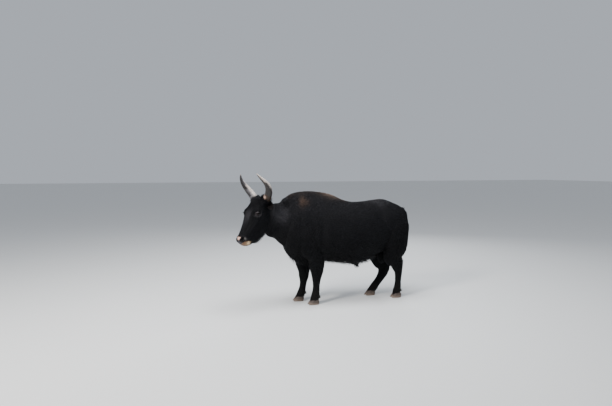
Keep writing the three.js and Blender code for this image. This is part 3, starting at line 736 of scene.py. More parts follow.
def tone_at(points):
    """The colour of hair or bare skin at each point, with painted highlights and painted shade."""
    body = points - SHIFT
    q = to_head(points)

    def mix(tone, other, share):
        return tone + (other - tone) * np.clip(share, 0, 1)[:, None]

    tone = np.tile(BLACK, (len(points), 1))
    # painted shade: the trunk darkens from its middle down to the belly and over the legs, as if shaded from
    # above; not on the face
    tone = mix(tone, UNDERSIDE_SHADE_BLACK, step_down(body[:, 2], 0.62, 0.98) * (1 - on_face(q)))
    tone = mix(tone, LEG_BROWN, step_down(body[:, 2], 0.08, 0.30) * 0.6)
    # painted highlight: the top of the body is lighter grey in patches, as if lit from above
    upper = step_up(body[:, 2], 0.92, 1.25) * (0.4 + 0.8 * blotch(body, 7, 5))
    tone = mix(tone, PAINTED_SHEEN_GREY, 0.20 * upper * (1 - on_face(q)))
    # painted highlights: a grey sheen on the crest of the neck and on the top of the rump
    sheen = spot(body, (410, 130, 1090), (80, 90, 90)) + 0.6 * spot(body, (-900, 60, 1215), (140, 150, 60))
    tone = mix(tone, PAINTED_SHEEN_GREY, sheen * (0.3 + 0.7 * blotch(body, 30, 8)))
    # painted highlight: a grey sheen down the front of the forehead and the bridge of the nose
    bridge_sheen = step_up(q[:, 2], 0.045, 0.085) * step_up(q[:, 0], 0.15, 0.24) * step_down(q[:, 0], 0.36, 0.50)
    bridge_sheen *= step_down(np.abs(q[:, 1]), 0.025, 0.060)
    tone = mix(tone, PAINTED_SHEEN_GREY, 0.75 * bridge_sheen * (0.5 + 0.5 * blotch(q, 40, 14)))
    patchy = 0.35 + 0.9 * blotch(body * [1, 1, 0.6], 60, 11)
    for bleached, centre, radii in SUN_PATCHES:
        tone = mix(tone, BLEACHED_BROWN_AND_RIM_HIGHLIGHT, bleached * patchy * spot(body, centre, radii))
    # painted highlight: a thin brown line along the top of the back, where the back line catches the light
    ridge = step_up(body[:, 2], 1.19, 1.24) * groove(body[:, 1], 0.040)
    tone = mix(tone, BLEACHED_BROWN_AND_RIM_HIGHLIGHT, 0.22 * ridge * patchy * (body[:, 0] < 0.3))
    # painted highlight: a pale tan rim on the back line behind the hump
    pale = step_up(body[:, 2], 1.13, 1.18) * spot(body, (-235, 0, 1270), (120, 62, 130))
    tone = mix(tone, SPINE_RIM_HIGHLIGHT, 0.75 * pale * (0.35 + 0.65 * blotch(body, 160, 17)))
    tone = mix(tone, PALE_SPOT, 0.8 * spot(body, (420, 139, 1066), (9, 14, 9)))
    from_eye = to_left(q) - EYE
    ahead_of_eye = from_eye @ np.array([0.78, 0, 0.62])
    over_eye = from_eye @ np.array([-0.62, 0, 0.78])
    ring = groove(np.hypot(ahead_of_eye - 0.004, over_eye) - 0.034, 0.007) * (np.abs(from_eye[:, 1]) < 0.05)
    tone = mix(tone, EYE_RING, 0.8 * ring * step_down(over_eye, -0.014, 0.000) * on_face(q))
    shade = (0.72 + 0.5 * blotch(q, 150, 21))[:, None]
    for zone, share in nose_zones(points):
        tone = mix(tone, zone * shade, share)
    # painted shade: the nostrils turn black with depth, for the shade in their hollows
    return mix(tone, NOSTRIL_SHADE_BLACK, step_up(nostril_depth(q), 0.15, 0.45))


print("tone of the flank", tone_at(np.array([[0.0, 0.3, 0.8]])).round(4))

# %% [markdown]
# ## The lie of the coat
#
# Hair grows in streams. It runs back along the trunk, down the legs and the tail, and on the head
# from the forehead down to the nose and back over the cheeks. Each part has its direction, and
# averaging it over the skin turns the borders between parts into gentle bends.

# %% Directions of the hair
def head_way(way):
    return np.array(way) @ HEAD_TURN.T


LIE = {
    "torso": (-1.0, 0, -0.30),
    "neck": (-0.92, -0.1, -0.38),
    "head": head_way((-0.55, 0, -0.5)),
    "tail": (0, 0, -1),
    "sheath": (-0.8, 0, -0.6),
    "scrotum": (0, 0, -1),
}
for leg in LEGS:
    LIE[leg] = (-0.12, 0, -1)

co = coordinates(skin)
normal = normals_of(skin)
part = part_of(co)
q = to_head(co)
lie = np.array([LIE[name] for name in PART_NAMES], float)[part]
on_head = part == PART["head"]
facing = normal @ head_way((0, 0, 1))
forehead = (on_head * step_up(facing, 0.35, 0.75))[:, None]
lie = lie * (1 - forehead) + forehead * head_way((1, 0, -0.1))
rump = (part == PART["torso"]) * step_down(co[:, 0] - SHIFT[0], -1.24, -1.02)
lie += rump[:, None] * np.array([0.6, 0, -0.9])
chest = (part == PART["torso"]) * step_up(co[:, 0] - SHIFT[0], 0.2, 0.34)
lie += chest[:, None] * np.array([0.5, 0, -0.9])

edges = np.empty(len(skin.data.edges) * 2, np.int32)
skin.data.edges.foreach_get("vertices", edges)
a, b = edges.reshape(-1, 2).T
for _ in range(14):
    for axis in range(3):
        count = len(co)
        lie[:, axis] += np.bincount(a, lie[b, axis], count) + np.bincount(b, lie[a, axis], count)
    lie = unit(lie)
lie = unit(lie - np.sum(lie * normal, axis=1)[:, None] * normal)
print("lie of", len(lie), "points")

# %% [markdown]
# ## An unwrap along each part
#
# A bake needs every tuft at its own place on a flat map of the skin. Each part is a bent tube, so the
# natural map is how far along the tube a root is, and how far round it. The same two lengths stretch
# the hair pattern on the skin along the body.

# %% Places along and round the parts
axes = {}
for name, grid in parts.items():
    middle = grid.mean(axis=1)
    across = unit(grid[:, 0] - grid[:, grid.shape[1] // 2])
    axes[name] = (middle, across)


def unroll(points, part):
    """For each point: its place along its part and its angle round it, both from 0 to 1."""
    place = np.zeros(len(points))
    angle = np.zeros(len(points))
    for name, (middle, across) in axes.items():
        mine = np.flatnonzero(part == PART[name])
        for chunk in np.array_split(mine, len(mine) // 20000 + 1):
            if not len(chunk):
                continue
            p = points[chunk]
            nearest = ((p[:, None] - middle[None]) ** 2).sum(-1).argmin(1)
            along = unit(np.gradient(middle, axis=0))[nearest]
            away = p - middle[nearest]
            slip = np.sum(away * along, axis=1)
            pitch = np.linalg.norm(np.gradient(middle, axis=0), axis=1)[nearest]
            place[chunk] = np.clip((nearest + np.clip(slip / pitch, -0.5, 0.5)) / (len(middle) - 1), 0, 1)
            up = np.cross(along, across[nearest])
            flat = (np.sum(away * across[nearest], axis=1), np.sum(away * up, axis=1))
            angle[chunk] = np.arctan2(flat[1], flat[0]) / (2 * math.pi) + 0.5
    return place, angle


place, angle = unroll(co, part)


KINDS = {"tone": ("FLOAT_COLOR", "color"), "flow": ("FLOAT_VECTOR", "vector")}
PLAIN_NUMBER = ("FLOAT", "value")


def store(thing, **values):
    """Keeps values for each point of a mesh: a tone, a place in the flow, or plain numbers."""
    for name, each in values.items():
        kind, field = KINDS.get(name, PLAIN_NUMBER)
        if name == "tone":
            each = np.concatenate([each, np.ones((len(each), 1))], axis=1)
        attribute = thing.data.attributes.new(name, kind, "POINT")
        attribute.data.foreach_set(field, np.asarray(each, np.float32).ravel())


LENGTH = np.array([np.linalg.norm(np.diff(axes[n][0], axis=0), axis=1).sum() for n in PART_NAMES])
GIRTH = np.array([np.linalg.norm(np.diff(parts[n], axis=1), axis=2).sum(1).mean() for n in PART_NAMES])
flow = np.stack([place * LENGTH[part], angle * GIRTH[part], 3.0 * part], 1)
store(skin, flow=flow, tone=tone_at(co), bare=bare_nose(co))
print("girths", dict(zip(PART_NAMES, GIRTH.round(2))))

# %% [markdown]
# ## Tufts
#
# Hair particles and hair curves don't survive an export, so the coat is made of solid tufts. A tuft
# is a thin blade with three sides that starts under the skin, follows the lie and ends in a point.
# All tufts of a piece are worked out at once in arrays, which is thousands of times faster than
# placing them one by one.

# %% Scatter roots over the skin
skin.data.calc_loop_triangles()
triangle = np.empty(len(skin.data.loop_triangles) * 3, np.int32)
skin.data.loop_triangles.foreach_get("vertices", triangle)
triangle = triangle.reshape(-1, 3)
corner = co[triangle]
area = np.linalg.norm(np.cross(corner[:, 1] - corner[:, 0], corner[:, 2] - corner[:, 0]), axis=1) / 2
normal = normals_of(skin)
triangle_part = part[triangle[:, 0]]
triangle_middle = corner.mean(axis=1)
print("skin area", round(area.sum(), 2), "m2")


def scatter(density):
    """Roots with so many to the square metre: where each is, its normal, lie and part."""
    expected = area * density
    count = int(expected.sum())
    chosen = np.searchsorted(np.cumsum(expected), rng.uniform(0, expected.sum(), count))
    chosen = np.minimum(chosen, len(area) - 1)
    u, v = rng.uniform(size=(2, count))
    flip = u + v > 1
    u[flip], v[flip] = 1 - u[flip], 1 - v[flip]
    weight = np.stack([1 - u - v, u, v], 1)[..., None]

    def at(values):
        return np.sum(values[triangle[chosen]] * weight, axis=1)

    root, up, way = at(co), unit(at(normal)), at(lie)
    way = unit(way - np.sum(way * up, axis=1)[:, None] * up)
    return {"root": root, "up": up, "way": way, "part": triangle_part[chosen]}


def turned(spots, spread):
    """The lie, turned in the skin by random angles and by slow waves that part the coat."""
    side = np.cross(spots["up"], spots["way"])
    wave = blotch(spots["root"], 34, 40) - 0.5
    by = rng.normal(0, spread, len(side)) + 3.2 * spread * wave
    return unit(spots["way"] * np.cos(by)[:, None] + side * np.sin(by)[:, None])


# %% Build tufts as one mesh
TUFT_PATCH = 0.003


def blades(name, path, up, width, thick, spots, tint):
    """Closed blades with three sides along paths of the shape (count, steps, 3)."""
    count, steps = path.shape[:2]
    along = unit(np.gradient(path, axis=1))
    side = unit(np.cross(up[:, None], along))
    rise = unit(np.cross(along, side))
    taper = np.array(np.interp(np.linspace(0, 1, steps), [0, 0.35, 1], [0.75, 1.0, 0.05]))
    half = width[:, None, None] / 2 * taper[None, :, None]
    high = thick[:, None, None] * taper[None, :, None]
    ring = np.stack([path - side * half, path + side * half, path + rise * high], axis=2)
    body = ring[:, :-1].reshape(count, -1, 3)
    co = np.concatenate([body, path[:, -1:]], axis=1)
    each = co.shape[1]
    tris = [(0, 2, 1)]
    for s in range(steps - 2):
        for k in range(3):
            a, b = 3 * s + k, 3 * s + (k + 1) % 3
            tris += [(a, b, b + 3), (a, b + 3, a + 3)]
    tris += [(each - 4 + k, each - 4 + (k + 1) % 3, each - 1) for k in range(3)]
    tris = np.array(tris)
    faces = (tris[None] + each * np.arange(count)[:, None, None]).reshape(-1, 3)
    mesh = bpy.data.meshes.new(name)
    mesh.vertices.add(count * each)
    mesh.vertices.foreach_set("co", co.astype(np.float32).ravel())
    mesh.loops.add(faces.size)
    mesh.loops.foreach_set("vertex_index", faces.astype(np.int32).ravel())
    mesh.polygons.add(len(faces))
    mesh.polygons.foreach_set("loop_start", np.arange(0, faces.size, 3, dtype=np.int32))
    mesh.polygons.foreach_set("use_smooth", np.ones(len(faces), bool))
    mesh.update(calc_edges=True)
    thing = in_scene(name, mesh)
    place, angle = unroll(spots["root"], spots["part"])
    tile = np.stack([0.005 + angle * 0.08 + 0.1 * spots["part"], 0.005 + 0.985 * place], 1)
    patch = np.zeros((each, 2))
    turn = np.arange(each) / each * 2 * math.pi
    patch[:, 0] = np.cos(turn) * TUFT_PATCH / 2
    patch[:, 1] = np.sin(turn) * TUFT_PATCH / 2
    uv = tile[:, None] + patch[None]
    layer = mesh.uv_layers.new(name="OFBake")
    layer.data.foreach_set("uv", uv.reshape(-1, 2)[faces.ravel()].astype(np.float32).ravel())
    tip = np.tile(np.append(np.repeat(np.linspace(0, 1, steps)[:-1], 3), 1.0), count)
    step = np.linalg.norm(np.diff(path, axis=1, prepend=path[:, :1]), axis=2).cumsum(axis=1)
    along_hair = np.concatenate([np.repeat(step[:, :-1], 3, axis=1), step[:, -1:]], axis=1)
    over = np.append(np.tile([-0.5, 0.5, 0.0], steps - 1), 0.0)[None] * width[:, None]
    offset = np.repeat(rng.uniform(0, 1, (count, 1)), each, axis=1)
    flow = np.stack([along_hair, over, offset], -1).reshape(-1, 3)
    store(thing, tone=np.repeat(tint, each, axis=0), tip=tip, flow=flow)
    coat_pieces.append(thing)
    print(f"{name}: {count} tufts, {len(faces)} triangles")
    return thing


coat_pieces = []


def lying_path(spots, way, length, lift, sink, droop=0.0, steps=3, wave=0.0):
    """A path that leaves the skin at a low angle and settles back along it."""
    s = np.linspace(0, 1, steps)[None, :, None]
    length = length[:, None, None]
    start = (spots["root"] - spots["up"] * sink)[:, None]
    path = start + way[:, None] * length * s
    path = path + spots["up"][:, None] * (sink * np.minimum(s * 4, 1) + lift * length * s * (1.6 - s))
    path[..., 2] -= (droop * length * s**2)[..., 0]
    side = np.cross(spots["up"], way)[:, None]
    phase = rng.uniform(0, 2 * math.pi, (len(way), 1, 1))
    return path + side * wave * length * s * np.sin(2.2 * math.pi * s + phase)


def tuft_tint(spots, spread=0.22):
    """The tone of each root, a little lighter or darker from tuft to tuft."""
    tint = tone_at(spots["root"])
    return np.clip(tint * np.exp(rng.normal(0, spread, (len(tint), 1))), 0, 1)


# %% [markdown]
# ## The short coat
#
# The trunk has short hair that lies flat, a little longer on the hump and the crest of the neck. On
# the face and the lower legs it is shortest. The density is given in tufts to the square metre, and
# the coat is divided into pieces so that none of them is too large to handle.

# %% Where hair grows and how long it is
# where hair starts, from the middle of an eye and from the floor
EYE_BARE = (0.027, 0.031)
SOLE_BARE = (0.045, 0.055)


def hair_share(points):
    """1 where hair grows and 0 on the nose, the eyes, the mouth and the soles."""
    q = to_head(points)
    eye = np.linalg.norm((to_left(q) - EYE) * [1, 1, 1.25], axis=1)
    share = 1 - step_up(bare_nose(points), 0.2, 0.7)
    share *= step_up(eye, *EYE_BARE)
    return share * step_up(points[:, 2], *SOLE_BARE)


share = hair_share(triangle_middle)
q_middle = to_head(triangle_middle)
body_middle = triangle_middle - SHIFT


def is_part(*names):
    return np.isin(triangle_part, [PART[n] for n in names])


def coat(name, where, density, length, width, lift=0.12, spread=0.13, steps=3, thick=0.24):
    """One piece of short coat. length and width are in millimetres, as numbers or for each root."""
    spots = scatter(share * where * density)
    way = turned(spots, spread)
    long = (length(spots["root"]) if callable(length) else length) * MM
    long = long * rng.uniform(0.75, 1.25, len(way))
    path = lying_path(spots, way, long, lift, 3 * MM, steps=steps)
    wide = width * MM * rng.uniform(0.8, 1.2, len(way))
    return blades(name, path, spots["up"], wide, wide * thick, spots, tuft_tint(spots))


def trunk_length(points):
    """Hair of the trunk: longest on the hump and the withers."""
    high = step_up(points[:, 2], 1.12, 1.3)
    return 34 + 16 * high


trunk = is_part("torso")
on_left = triangle_middle[:, 1] >= 0
in_front = body_middle[:, 0] > -0.42
for end, lengthwise in (("fore", in_front), ("rear", ~in_front)):
    for word, half in (("left", on_left), ("right", ~on_left)):
        coat(f"coat_trunk_{end}_{word}", trunk & lengthwise & half, 15000, trunk_length, 4.8)
coat("coat_neck", is_part("neck"), 16000, 36, 4.6)
coat("coat_tail", is_part("tail"), 26000, 34, 4.5)
coat("coat_sheath", is_part("sheath", "scrotum"), 16000, 22, 4.5)


def leg_length(points):
    """Hair of the legs: shorter towards the feet."""
    return 13 + 18 * step_up(points[:, 2], 0.15, 0.7)


for leg in LEGS:
    coat(f"coat_{leg}", is_part(leg), 17000, leg_length, 4.0, lift=0.18)


def face_length(points):
    """Hair of the head: shortest on the muzzle, longer at the cheeks and the poll."""
    q = to_head(points)
    return 9 + 17 * step_down(q[:, 0], 0.02, 0.46)


head_side = q_middle[:, 1] >= 0
for word, half in (("left", head_side), ("right", ~head_side)):
    coat(f"coat_head_{word}", is_part("head") & half, 74000, face_length, 2.6, lift=0.11)

# %% [markdown]
# ## Long hair
#
# A yak keeps longer hair in places even in summer: a curly tuft between the horns, a fringe along
# the belly and the brisket, hair under the jaw, the sheath's tuft and the tail's brush. Locks are
# blades too, with more steps, so that they can bend, hang and curl.

# %% Locks
def locks(name, where, density, length, width, lift, droop, steps=6, spread=0.25, wave=0.05, thick=0.3):
    """A piece of long hair that leaves the skin and hangs."""
    spots = scatter(share * where * density)
    way = turned(spots, spread)
    long = length * MM * rng.uniform(0.6, 1.2, len(way))
    path = lying_path(spots, way, long, lift, 4 * MM, droop, steps, wave)
    wide = width * MM * rng.uniform(0.7, 1.2, len(way))
    return blades(name, path, spots["up"], wide, wide * thick, spots, tuft_tint(spots, 0.18))


down = step_down(normal[triangle[:, 0], 2], -0.85, -0.55)
along_belly = step_up(body_middle[:, 0], -0.80, -0.66) * (body_middle[:, 0] < 0.33)
locks("belly_fringe", trunk * down * along_belly, 6500, 82, 5.5, 0.14, 0.50)
jaw_side = step_down(q_middle[:, 2], -0.16, -0.09) * (q_middle[:, 0] > 0.02) * (q_middle[:, 0] < 0.49)
locks("jaw_hair", is_part("head") * jaw_side, 22000, 54, 3.2, 0.16, 0.42)
throat = is_part("neck") * step_down(normal[triangle[:, 0], 2], -0.6, -0.2)
locks("throat_hair", throat, 16000, 30, 4.0, 0.12, 0.20)
hump = step_up(body_middle[:, 2], 1.20, 1.30) * step_up(body_middle[:, 0], -0.2, 0.0)
locks("hump_hair", (trunk | is_part("neck")) * hump, 8000, 56, 4.2, 0.10, 0.06, spread=0.22)
sheath_end = is_part("sheath") * step_down(body_middle[:, 0], -0.60, -0.54)
locks("sheath_tuft", sheath_end, 34000, 52, 3.6, 0.22, 0.40)
feather = is_part(*LEGS) * step_down(normal[triangle[:, 0], 0], -0.8, -0.4)
feather = feather * step_up(triangle_middle[:, 2], 0.36, 0.44) * (triangle_middle[:, 2] < 0.75)
locks("leg_feather", feather, 9000, 44, 4.0, 0.12, 0.2)
coronet = is_part(*LEGS) * (triangle_middle[:, 2] < 0.085)
locks("coronet_hair", coronet, 60000, 27, 2.8, 0.16, 0.1, steps=5)

# %% The tail's brush
BRUSH_TOP, BRUSH_END = 0.92, 0.335
BRUSH_RADIUS = 0.034


def tail_brush():
    """Long locks that hang close round the tail and run together in a point under it."""
    brush_part = is_part("tail") * step_down(triangle_middle[:, 2], BRUSH_TOP - 0.2, BRUSH_TOP)
    spots = scatter(brush_part * 30000)
    root = spots["root"]
    count = len(root)
    middle = axes["tail"][0]

    def tail_middle(height):
        return np.stack([np.interp(-height, -middle[:, 2], middle[:, k]) for k in range(2)], 1)

    end = root[:, 2] - rng.uniform(0.12, 0.26, count)
    end = np.maximum(end, BRUSH_END + np.abs(rng.normal(0, 0.035, count)))
    away = unit(root[:, :2] - tail_middle(root[:, 2]))
    narrow = 0.15 + 0.85 * step_up(end, BRUSH_END, 0.62)
    reach = BRUSH_RADIUS * narrow * rng.uniform(0.6, 1.0, count)
    tip = np.concatenate([tail_middle(end) + away * reach[:, None], end[:, None]], axis=1)
    s = np.linspace(0, 1, 9)[None, :, None]
    start = root - spots["up"] * 4 * MM
    path = start[:, None] + (tip - start)[:, None] * s
    path += spots["up"][:, None] * 14 * MM * np.sin(math.pi * s)
    side = np.cross(spots["up"], np.array([0, 0, -1.0]))[:, None]
    phase = rng.uniform(0, 2 * math.pi, (count, 1, 1))
    path += side * 5 * MM * s * np.sin(2.6 * math.pi * s + phase)
    wide = rng.uniform(3.2, 5.4, count) * MM
    return blades("tail_brush", path, spots["up"], wide, wide * 0.3, spots, tuft_tint(spots, 0.18))


tail_brush()

# %% Hair between the horns and round them
# x, y, z in the head's frame, radius of the horn
HORN = [
    (20, 64, 20, 46),
    (-5, 109, 44, 45),
    (-36, 148, 88, 42),
    (-56, 175, 138, 38),
    (-69, 188, 197, 31),
    (-75, 180, 254, 23),
    (-84, 157, 312, 15),
    (-97, 131, 356, 5),
]
# shortest and longest hair round each horn, in millimetres
COLLAR = {"left": (34, 60), "right": (22, 40)}


def poll_tuft():
    """Curled locks that stand up between the horns and fall forwards over the forehead."""
    q = q_middle
    between = step_down(np.abs(q[:, 1]), 0.055, 0.085) * step_up(q[:, 2], 0.02, 0.05)
    area_of_tuft = between * step_up(q[:, 0], -0.07, -0.03) * step_down(q[:, 0], 0.04, 0.16)
    spots = scatter(is_part("head") * area_of_tuft * 75000)
    root = to_head(spots["root"])
    sideways = np.clip(root[:, 1] / 0.08, -1, 1)
    way = head_way((1, 0, 0)) + sideways[:, None] * head_way((0, 0.35, 0))
    way = unit(way + rng.normal(0, 0.38, way.shape))
    s = np.linspace(0, 1, 9)[None, :, None]
    reach = 1 - 0.60 * step_up(root[:, 0], 0.0, 0.09)
    long = (rng.uniform(34, 62, len(way)) * reach * MM)[:, None, None]
    rise = spots["up"][:, None] * long * (0.62 * s - 0.48 * s**2)
    path = (spots["root"] - spots["up"] * 4 * MM)[:, None] + way[:, None] * long * s + rise
    side = np.cross(spots["up"], way)[:, None]
    turns = rng.uniform(0.8, 1.6, (len(way), 1, 1)) * 2 * math.pi
    phase = rng.uniform(0, 2 * math.pi, (len(way), 1, 1))
    curl = 3.4 * MM * np.minimum(s * 3, 1)
    path = path + curl * (side * np.cos(turns * s + phase) + spots["up"][:, None] * np.sin(turns * s + phase))
    wide = rng.uniform(2.2, 3.6, len(way)) * MM
    return blades("poll_tuft", path, spots["up"], wide, wide * 0.45, spots, tuft_tint(spots, 0.2))


def horn_collars():
    """Hair round the base of each horn, which lies up along it."""
    for word, side in SIDES.items():
        centre = smooth_rows(HORN, 24)[:, :3] * MM * [1, side, 1]
        radius = smooth_rows(HORN, 24)[:, 3] * MM
        near = np.linalg.norm(q_middle[:, None] - centre[None, :60], axis=2) - radius[None, :60]
        gap = near.min(axis=1)
        ring = (gap > -4 * MM) * step_down(gap, 8 * MM, 20 * MM)
        spots = scatter(is_part("head") * ring * 90000)
        root = to_head(spots["root"])
        nearest = np.linalg.norm(root[:, None] - centre[None], axis=2).argmin(axis=1)
        along = unit(np.gradient(centre, axis=0))[nearest]
        away = root - centre[nearest]
        away = unit(away - np.sum(away * along, axis=1)[:, None] * along)
        way = unit(along + 0.30 * away + rng.normal(0, 0.12, along.shape)) @ HEAD_TURN.T
        spots["up"] = away @ HEAD_TURN.T
        long = rng.uniform(*COLLAR[word], len(way)) * MM
        path = lying_path(spots, way, long, -0.08, 3 * MM, steps=5)
        wide = rng.uniform(2.2, 3.4, len(way)) * MM
        blades(f"horn_collar_{word}_hair", path, spots["up"], wide, wide * 0.35, spots, tuft_tint(spots))


poll_tuft()
horn_collars()

# %% [markdown]
# ## Ears
#
# An ear is a thin leaf rolled into a cup. Its section is a crescent, so it is lofted from crescents
# and not from ellipses: one arc for the back of the ear and a flatter one for the hollow in front.

# %% Ears
# x, y, z, half width, depth of the cup
EAR = [
    (16, 76, 4, 24, 22),
    (22, 84, -4, 26, 24),
    (40, 114, -18, 36, 24),
    (60, 142, -30, 41, 21),
    (84, 166, -36, 31, 14),
    (106, 186, -38, 6, 4),
]
EAR_WALL = 3 * MM
EAR_SIDES = 48
EAR_LIFT = 0.45


def ear_frame(side):
    """Middles of an ear's sections, the ways across them and out of the cup, half widths and depths."""
    rows = smooth_rows(EAR, 8) * MM
    centre = rows[:, :3] * [1, side, 1]
    along = unit(np.gradient(centre, axis=0))
    hint = np.array([1.0, 0, 0])
    across = unit(hint - (along @ hint)[:, None] * along)
    outwards = np.cross(along, across) * -side
    return centre, across, outwards, rows[:, 3] - 2 * MM, rows[:, 4]


def ear_points(side, at, turn):
    """Points of an ear's crescents: the hollow from turn 0 to half, and the back after that."""
    centre, across, outwards, half, deep = ear_frame(side)
    at, turn = np.broadcast_arrays(at, turn)
    half, deep = half[at], deep[at]
    inner = np.maximum(deep - EAR_WALL - 0.25 * deep * np.abs(np.cos(turn)), 0.15 * deep)
    arch = np.where(np.sin(turn) > 0, inner, deep) * np.abs(np.sin(turn)) ** 0.8
    sideways = (half * np.cos(turn))[..., None] * across[at]
    return centre[at] + sideways + (EAR_LIFT * deep - arch)[..., None] * outwards[at]


def ear_hair(name, side, count, turns, long, lift, outward, tint):
    """Tufts over a stretch of the crescents. outward says how far they lean out of the cup."""
    centre, across, outwards, half, deep = ear_frame(side)
    at = rng.integers(1, len(centre) - 2, count)
    turn = rng.uniform(*turns, count) * 2 * math.pi
    root = from_head(ear_points(side, at, turn))
    onward = from_head(ear_points(side, at + 1, turn)) - root
    up = np.cos(turn)[:, None] * across[at] + np.where(np.sin(turn) > 0, 0.8, -0.8)[:, None] * outwards[at]
    up = unit(up) @ HEAD_TURN.T
    way = unit(unit(onward) + outward * (outwards[at] @ HEAD_TURN.T))
    spots = {"root": root, "up": up, "way": way, "part": np.full(count, PART["head"])}
    way = turned(spots, 0.2)
    long = rng.uniform(*long, count) * MM
    path = lying_path(spots, way, long, lift, 2 * MM, steps=4)
    wide = rng.uniform(1.8, 2.8, count) * MM
    colour = np.tile(tint, (count, 1)) * np.exp(rng.normal(0, 0.2, (count, 1)))
    blades(name, path, up, wide, wide * 0.35, spots, colour)


ears = []
for word, side in SIDES.items():
    turn = np.arange(EAR_SIDES) / EAR_SIDES * 2 * math.pi
    sections = np.arange((len(EAR) - 1) * 8 + 1)[:, None]
    grid = from_head(ear_points(side, sections, turn[None]))
    ear = loft(f"ear_{word}_skin", grid)
    tone = np.tile(BLACK, (grid.shape[0] * EAR_SIDES, 1))
    hollow = (np.arange(len(tone)) % EAR_SIDES) < EAR_SIDES // 2
    tone[hollow] = HOLLOW_EAR
    store(ear, tone=tone, flow=grid.reshape(-1, 3), bare=np.zeros(len(tone)))
    ears.append(ear)
    ear_hair(f"ear_{word}_back_hair", side, 1900, (0.50, 1.0), (9, 16), 0.12, 0.0, BLACK)
    ear_hair(f"ear_{word}_inner_hair", side, 650, (0.04, 0.46), (14, 26), 0.30, 0.5, INNER_EAR)
    ear_hair(f"ear_{word}_rim_hair", side, 330, (-0.03, 0.03), (14, 26), 0.15, 0.7, BLACK)
    ear_hair(f"ear_{word}_front_hair", side, 330, (0.47, 0.53), (14, 26), 0.15, 0.7, BLACK)

# %% [markdown]
# ## Eyes and lids
#
# A yak's eye is dark, wet and set well into the head. The ball is a full sphere behind an almond
# opening. The lids are one ring of skin: it starts on the ball, rolls over a thick edge, dips into
# the crease and runs out into the head, where the coat covers its border.

# %% Eyeballs
EYE_RADIUS = 22 * MM
IRIS_BROWN = np.array([0.013, 0.006, 0.004])
PUPIL_BLACK = 0.003
PUPIL_LONG, PUPIL_SHORT = 0.42, 0.24
EYE_WHITE = np.array([0.022, 0.016, 0.015])
skin_faces = [tuple(p.vertices) for p in skin.data.polygons]
skin_tree = BVHTree.FromPolygons(coordinates(skin).tolist(), skin_faces)


def gaze_frame(side):
    """The middle of an eye, and the ways it looks, forwards and up, in the room."""
    gaze = unit(np.array([0.16, 0.95 * side, 0.20]))
    ahead = np.array([0.78, 0, 0.62])
    ahead = unit(ahead - (ahead @ gaze) * gaze)
    up = np.cross(gaze, ahead)
    up *= np.sign(up[2])
    return from_head(EYE * [1, side, 1]), *(v @ HEAD_TURN.T for v in (gaze, ahead, up))


def eyeball(word, side):
    """A ball with a bulging cornea, a brown iris and a wide dark pupil."""
    centre, gaze, ahead, up = gaze_frame(side)
    polar = np.linspace(0, math.pi, 41)
    turn = np.arange(48) / 48 * 2 * math.pi
    radius = EYE_RADIUS * (0.985 + 0.035 * np.exp(-((polar / 0.55) ** 2)))
    flat = np.sin(polar)[:, None] * radius[:, None]
    around = flat[..., None] * (np.cos(turn)[None, :, None] * ahead + np.sin(turn)[None, :, None] * up)
    grid = centre + (np.cos(polar) * radius)[:, None, None] * gaze + around
    ball = loft(f"eyeball_{word}", grid)
    long_way = np.sin(polar)[:, None] * np.cos(turn)[None]
    short_way = np.sin(polar)[:, None] * np.sin(turn)[None]
    pupil = (long_way / PUPIL_LONG) ** 2 + (short_way / PUPIL_SHORT) ** 2
    pupil = step_down(pupil.ravel(), 0.85, 1.15)
    behind = np.repeat(polar > 1.5, len(turn))
    white = step_up((long_way**2 + short_way**2).ravel() + 2 * behind, 0.52, 0.62)
    tone = np.tile(IRIS_BROWN, (len(pupil), 1))
    tone = tone * (1 - pupil[:, None]) + pupil[:, None] * PUPIL_BLACK
    tone = tone * (1 - white[:, None]) + white[:, None] * EYE_WHITE
    store(ball, tone=tone)
    return ball


# %% Eyelids
OPENING = (20 * MM, 11 * MM)
# share of the opening, and height over the ball; the last rings lie on the skin
LID = [(0.90, -1.0), (0.98, 0.9), (1.06, 2.6), (1.20, 3.0), (1.38, 1.6), (1.62, 1.4)]
LID_BORDER = [(2.0, 1.2), (2.6, -4.0)]
LID_SIDES = 56
# pale lid skin, and a painted sheen on the upper lid
LID_PALE_AND_SHEEN = np.array([0.100, 0.086, 0.091])
LID_BARE = 0.35


def almond(share):
    """The outline of the opening, pointed at both corners."""
    turn = np.arange(LID_SIDES) / LID_SIDES * 2 * math.pi
    high = OPENING[1] * np.sin(turn) * (0.55 + 0.45 * np.abs(np.sin(turn)))
    widen = 1 + (share - 1) * 0.8
    return OPENING[0] * widen * np.cos(turn), high * share


